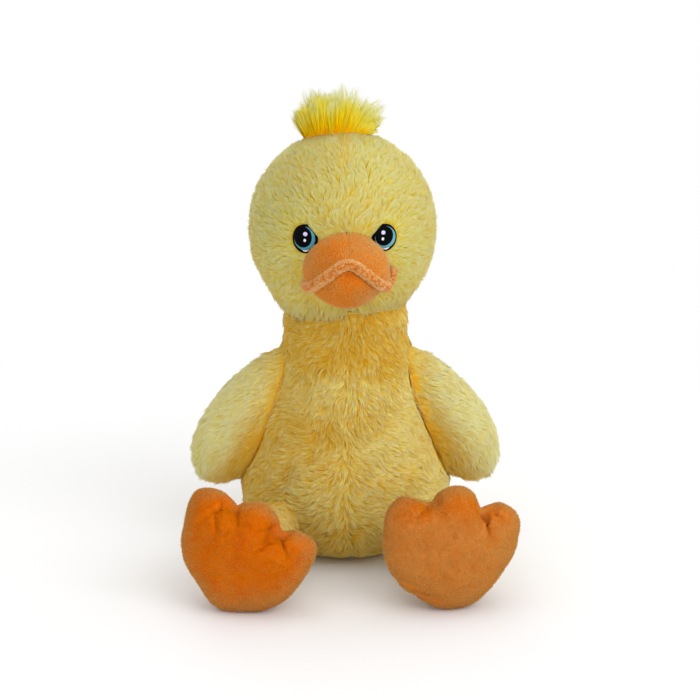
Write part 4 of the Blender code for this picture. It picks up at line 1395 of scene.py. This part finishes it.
def lip_path():
    """Along the mouth line on the bill's surface, then back to the face, curling up at the right."""
    x = -corner_x() * np.cos(np.linspace(0, math.pi, 41))
    z = mouth_line(BILL_SHIFT + x)
    room = 1 - (x / BILL_HALF_WIDTH) ** 2 - ((z - BILL_HEIGHT) / BILL_HALF_HEIGHT) ** 2
    path = np.stack([BILL_SHIFT + x, BILL_ROOT_Y - BILL_LENGTH * np.sqrt(np.maximum(room, 0)), z], 1)
    first = path[0] + (0, BILL_LENGTH, 0)
    path = smooth_curve(np.concatenate([[first], path, path[-1] + LIP_CURL]), 400)
    return path[head_room(path) > TOUCH_GAP - PILE_DEPTH]


def tube_place(path, radius):
    """Where a point of the unit ball lands on a rounded tube along a path."""
    tangents = unit(np.gradient(path, axis=0))
    steps = np.arange(len(path))

    def place(spot):
        at = np.arccos(np.clip(spot[:, 2], -1, 1)) / math.pi * (len(path) - 1)
        middle = np.stack([np.interp(at, steps, path[:, k]) for k in range(3)], 1)
        along = unit(np.stack([np.interp(at, steps, tangents[:, k]) for k in range(3)], 1))
        out = unit(np.cross(np.cross(UP, along), along))
        beside = np.cross(along, out)
        ends = np.sqrt(np.clip(np.minimum(at, len(path) - 1 - at) / 6, 0, 1))
        angle = np.arctan2(spot[:, 1], spot[:, 0])[:, None]
        return middle + (out * np.cos(angle) + beside * np.sin(angle)) * (radius * ends)[:, None]

    return place


def make_lip(finish):
    path = lip_path()
    form = make_form(*MESHES["lip"], tube_place(path, LIP_RADIUS - 0.0008))
    middles = np.stack([path[np.argmin(np.linalg.norm(path - point, axis=1))] for point in form.points])
    if np.sum(form.normals * (form.points - middles)) < 0:
        form.quads = form.quads[:, ::-1]
        form.fans = form.fans[:, ::-1]
        form.triangles = form.triangles[:, ::-1]
        set_points(form, form.points)
    add_cloth("bill_lip_core", form, finish["velour_cloth"], "head", ("bill_lip",))

    roots, normals = scatter(form, LIP_DENSITY, np.random.default_rng(71))
    flow = np.random.default_rng(72).normal(size=(len(roots), 3))
    # Painted sheen: paler where the piping turns up or down, along its edges.
    tone = 0.75 - 0.65 * smooth_step(0.35, 0.80, np.abs(normals[:, 2])) + 0.15 * ripple(roots, 0.004, 13)
    look = new_look(TERRY, flow, LIP_LOOP_LENGTH, LIP_LOOP_LEAN, tone=tone)
    add_pile("bill_lip_loops", roots, normals, look, 73, finish["lip"], "head", (1.0, 1.0), 0.5)


def on_head(x, z, lift):
    """The point of the head's surface in front of the given x and z, lifted off it."""
    y = np.full(len(x), -HEAD_RADIUS)
    points = np.stack([x, y, z], 1)
    for _ in range(20):
        points[:, 1] += head_room(points)
    return points + slope(head_room, points) * np.asarray(lift)[:, None]


def under_brow(word, x, z):
    """Draws in what would reach past the line where the brow covers the eye."""
    half_size = EYES[word][1]
    beyond = np.maximum(eye_frame(word, x, z)[2] - BROW_REACH, 0)
    x = x + SIDES[word] * beyond * BROW_SLANT[0] * half_size[0]
    return x, z - beyond * BROW_SLANT[1] * half_size[1]


def eye_patch(name, word, centre, half_size, lift, crown, material):
    """A raised oval of satin stitches that follows the head's surface."""
    rings, columns = EYE_RINGS, EYE_COLUMNS
    spots = [(0.0, 0.0)]
    for ring in range(1, rings + 1):
        for column in range(columns):
            angle = math.tau * column / columns
            spots.append((ring / rings * math.cos(angle), ring / rings * math.sin(angle)))
    spots = np.array(spots)
    off = np.hypot(spots[:, 0], spots[:, 1])
    oval = spots * half_size
    x, z = under_brow(word, centre[0] + oval[:, 0], centre[1] + oval[:, 1])
    height = lift + crown * np.sqrt(np.clip(1 - off**2, 0, 1))
    front = on_head(x, z, height)
    back = on_head(x, z, np.full(len(x), EYE_BACK_LIFT))
    points = np.concatenate([front, back])
    faces = []
    count = len(front)
    for column in range(columns):
        after = (column + 1) % columns
        faces.append((0, 1 + after, 1 + column))
        faces.append((count, count + 1 + column, count + 1 + after))
        for ring in range(rings - 1):
            a, b = 1 + ring * columns + column, 1 + ring * columns + after
            faces.append((a, b, b + columns, a + columns))
            faces.append((count + b, count + a, count + a + columns, count + b + columns))
        a, b = 1 + (rings - 1) * columns + column, 1 + (rings - 1) * columns + after
        faces.append((a, b, count + b, count + a))
    mesh = bpy.data.meshes.new(name)
    mesh.from_pydata([tuple(point) for point in points], [], [tuple(face) for face in faces])
    mesh.update()
    for polygon in mesh.polygons:
        polygon.use_smooth = True
    replaced = ("eye_" + word,) if name.endswith("outline") else ()
    add_piece(name, mesh, material, "head", replaced)


def make_eye(word, finish):
    """Each layer lies on the one before: its middle, half size, lift off the head, crown and thread."""
    (x, z), (half_width, half_height) = EYES[word]
    centre = np.array((HEAD_SHIFT + x, EYE_HEIGHT + z))
    shine = centre + EYE_SHINES[word]
    width, height = half_width - EYE_RIM, half_height - EYE_RIM
    layers = (
        ("outline", centre, (half_width, half_height), 0.0004, 0.0008, "black"),
        ("arc", centre + (0.0004, -0.0003), (width * 0.7, height), 0.0007, 0.0008, "white"),
        ("iris", centre + (0.0001, 0.0003), (width, height - 0.0006), 0.0011, 0.0008, "teal"),
        ("pupil", centre + (-0.0007, 0.0012), (width - 0.0009, height - 0.0014), 0.0015, 0.0009, "black"),
        ("shine", shine, (0.0013, 0.0013), 0.0024, 0.0003, "shine"),
        ("glint", shine - (0.0003, 0.0040), (0.0008, 0.0010), 0.0024, 0.0002, "white"),
    )
    for layer, middle, half_size, lift, crown, thread in layers:
        eye_patch(f"eye_{word}_{layer}", word, middle, half_size, lift, crown, finish[thread + "_thread"])


def make_tuft(finish):
    """A dense bright core and a sparse fringe of longer, paler hairs."""
    rng = np.random.default_rng(81)
    radius = np.sqrt(rng.random(TUFT_HAIRS))
    angle = rng.random(TUFT_HAIRS) * math.tau
    x = TUFT_ROOT_HALF_WIDTH * radius * np.cos(angle)
    y = TUFT_ROOT_HALF_DEPTH * radius * np.sin(angle)
    z = np.sqrt((HEAD_RADIUS - PILE_DEPTH) ** 2 - (x + TUFT_SHIFT) ** 2 - y**2)
    roots = HEAD + np.stack([x + TUFT_SHIFT, y, z], 1)
    away = np.where(y < 0, 1.0, 0.6) * np.tanh(y / 0.004)
    normals = unit(np.stack([0.5 * x / TUFT_ROOT_HALF_WIDTH, away, np.full(TUFT_HAIRS, 0.5)], 1))

    fringe = np.arange(TUFT_HAIRS) < FRINGE_HAIRS
    outer = rng.choice(FRINGE_HAIRS, FRINGE_LOCKS, replace=False)
    inner = rng.choice(TUFT_HAIRS - FRINGE_HAIRS, CORE_LOCKS, replace=False)
    near = np.empty(TUFT_HAIRS, int)
    near[fringe] = nearest_lock(roots[fringe], outer)
    near[~fringe] = FRINGE_LOCKS + nearest_lock(roots[~fringe], inner)
    centres = np.concatenate([outer, FRINGE_HAIRS + inner])
    drift = rng.normal(size=(len(centres), 4))

    spread = TUFT_LEFT_SPREAD + (TUFT_RIGHT_SPREAD - TUFT_LEFT_SPREAD) * smooth_step(-0.01, 0.01, x)
    sideways, ahead = x / TUFT_ROOT_HALF_WIDTH * spread, y / TUFT_ROOT_HALF_DEPTH * 0.35
    aim = np.stack([sideways, ahead, np.ones(TUFT_HAIRS)], 1)
    aim[:, 0] += np.where(fringe, 0.05, 0.09) * drift[near, 0] + 0.06 * rng.normal(size=TUFT_HAIRS)
    aim[:, 1] += 0.10 * drift[near, 1] + 0.10 * rng.normal(size=TUFT_HAIRS)
    aim = unit(aim)
    edge = np.abs(x / TUFT_ROOT_HALF_WIDTH) ** 3
    core_length = TUFT_CORE_LENGTH - TUFT_CORE_SLANT * np.tanh((x - 0.004) / 0.006)
    length = np.where(fringe, TUFT_LENGTH, core_length) * (1 - np.where(x < 0, 0.35, 0.48) * edge)
    length = length * (1 + 0.10 * drift[near, 2] + 0.09 * rng.normal(size=TUFT_HAIRS))
    length = np.clip(length, *TUFT_LENGTHS)
    bend = TUFT_BEND * rng.normal(size=(TUFT_HAIRS, 3)) * (1, 1, 0)
    droop = np.stack([np.sign(x) * edge, np.zeros_like(x), -edge], 1) * TUFT_DROOP
    spine = [roots]
    for share in (0.4, 0.75, 1.0):
        spine.append(roots + aim * (length * share)[:, None] + bend * share + droop * share**2)
    lead = centres[near]
    spine[3] = spine[3] + (spine[3][lead] - spine[3]) * np.where(fringe, FRINGE_GATHER, CORE_GATHER)[:, None]

    tone = np.where(fringe, 0.16, 0.72 + 0.25 * bell(x, -0.001, 0.010)) + 0.06 * rng.normal(size=TUFT_HAIRS)
    width = np.where(fringe, FRINGE_WIDTH, CORE_WIDTH) * rng.uniform(0.7, 1.3, TUFT_HAIRS)
    tone = np.clip(tone, 0.02, 0.98)
    mesh = strand_mesh("hair_tuft_strands", spine, normals, width, tone, (1.0, 0.9, 0.6), PILE_SOFTNESS)
    add_piece("hair_tuft_strands", mesh, finish["tuft"], "head", ("hair_tuft",))


make_camera()
make_world()
make_floor()
make_lamps()
bpy.context.scene.view_settings.view_transform = "Standard"
finish = make_materials()
make_head(finish)
make_body(finish)
for word in SIDES:
    make_wing(word, finish)
    make_leg(word, finish)
    make_foot(word, finish)
    make_eye(word, finish)
make_tail(finish)
make_bill(finish)
make_lip(finish)
make_tuft(finish)
# The neck seam takes the muted seam thread, partly painted shade.
neck_seam = bpy.data.objects["neck_seam"]
neck_seam.data.materials.clear()
neck_seam.data.materials.append(finish["seam_thread"])
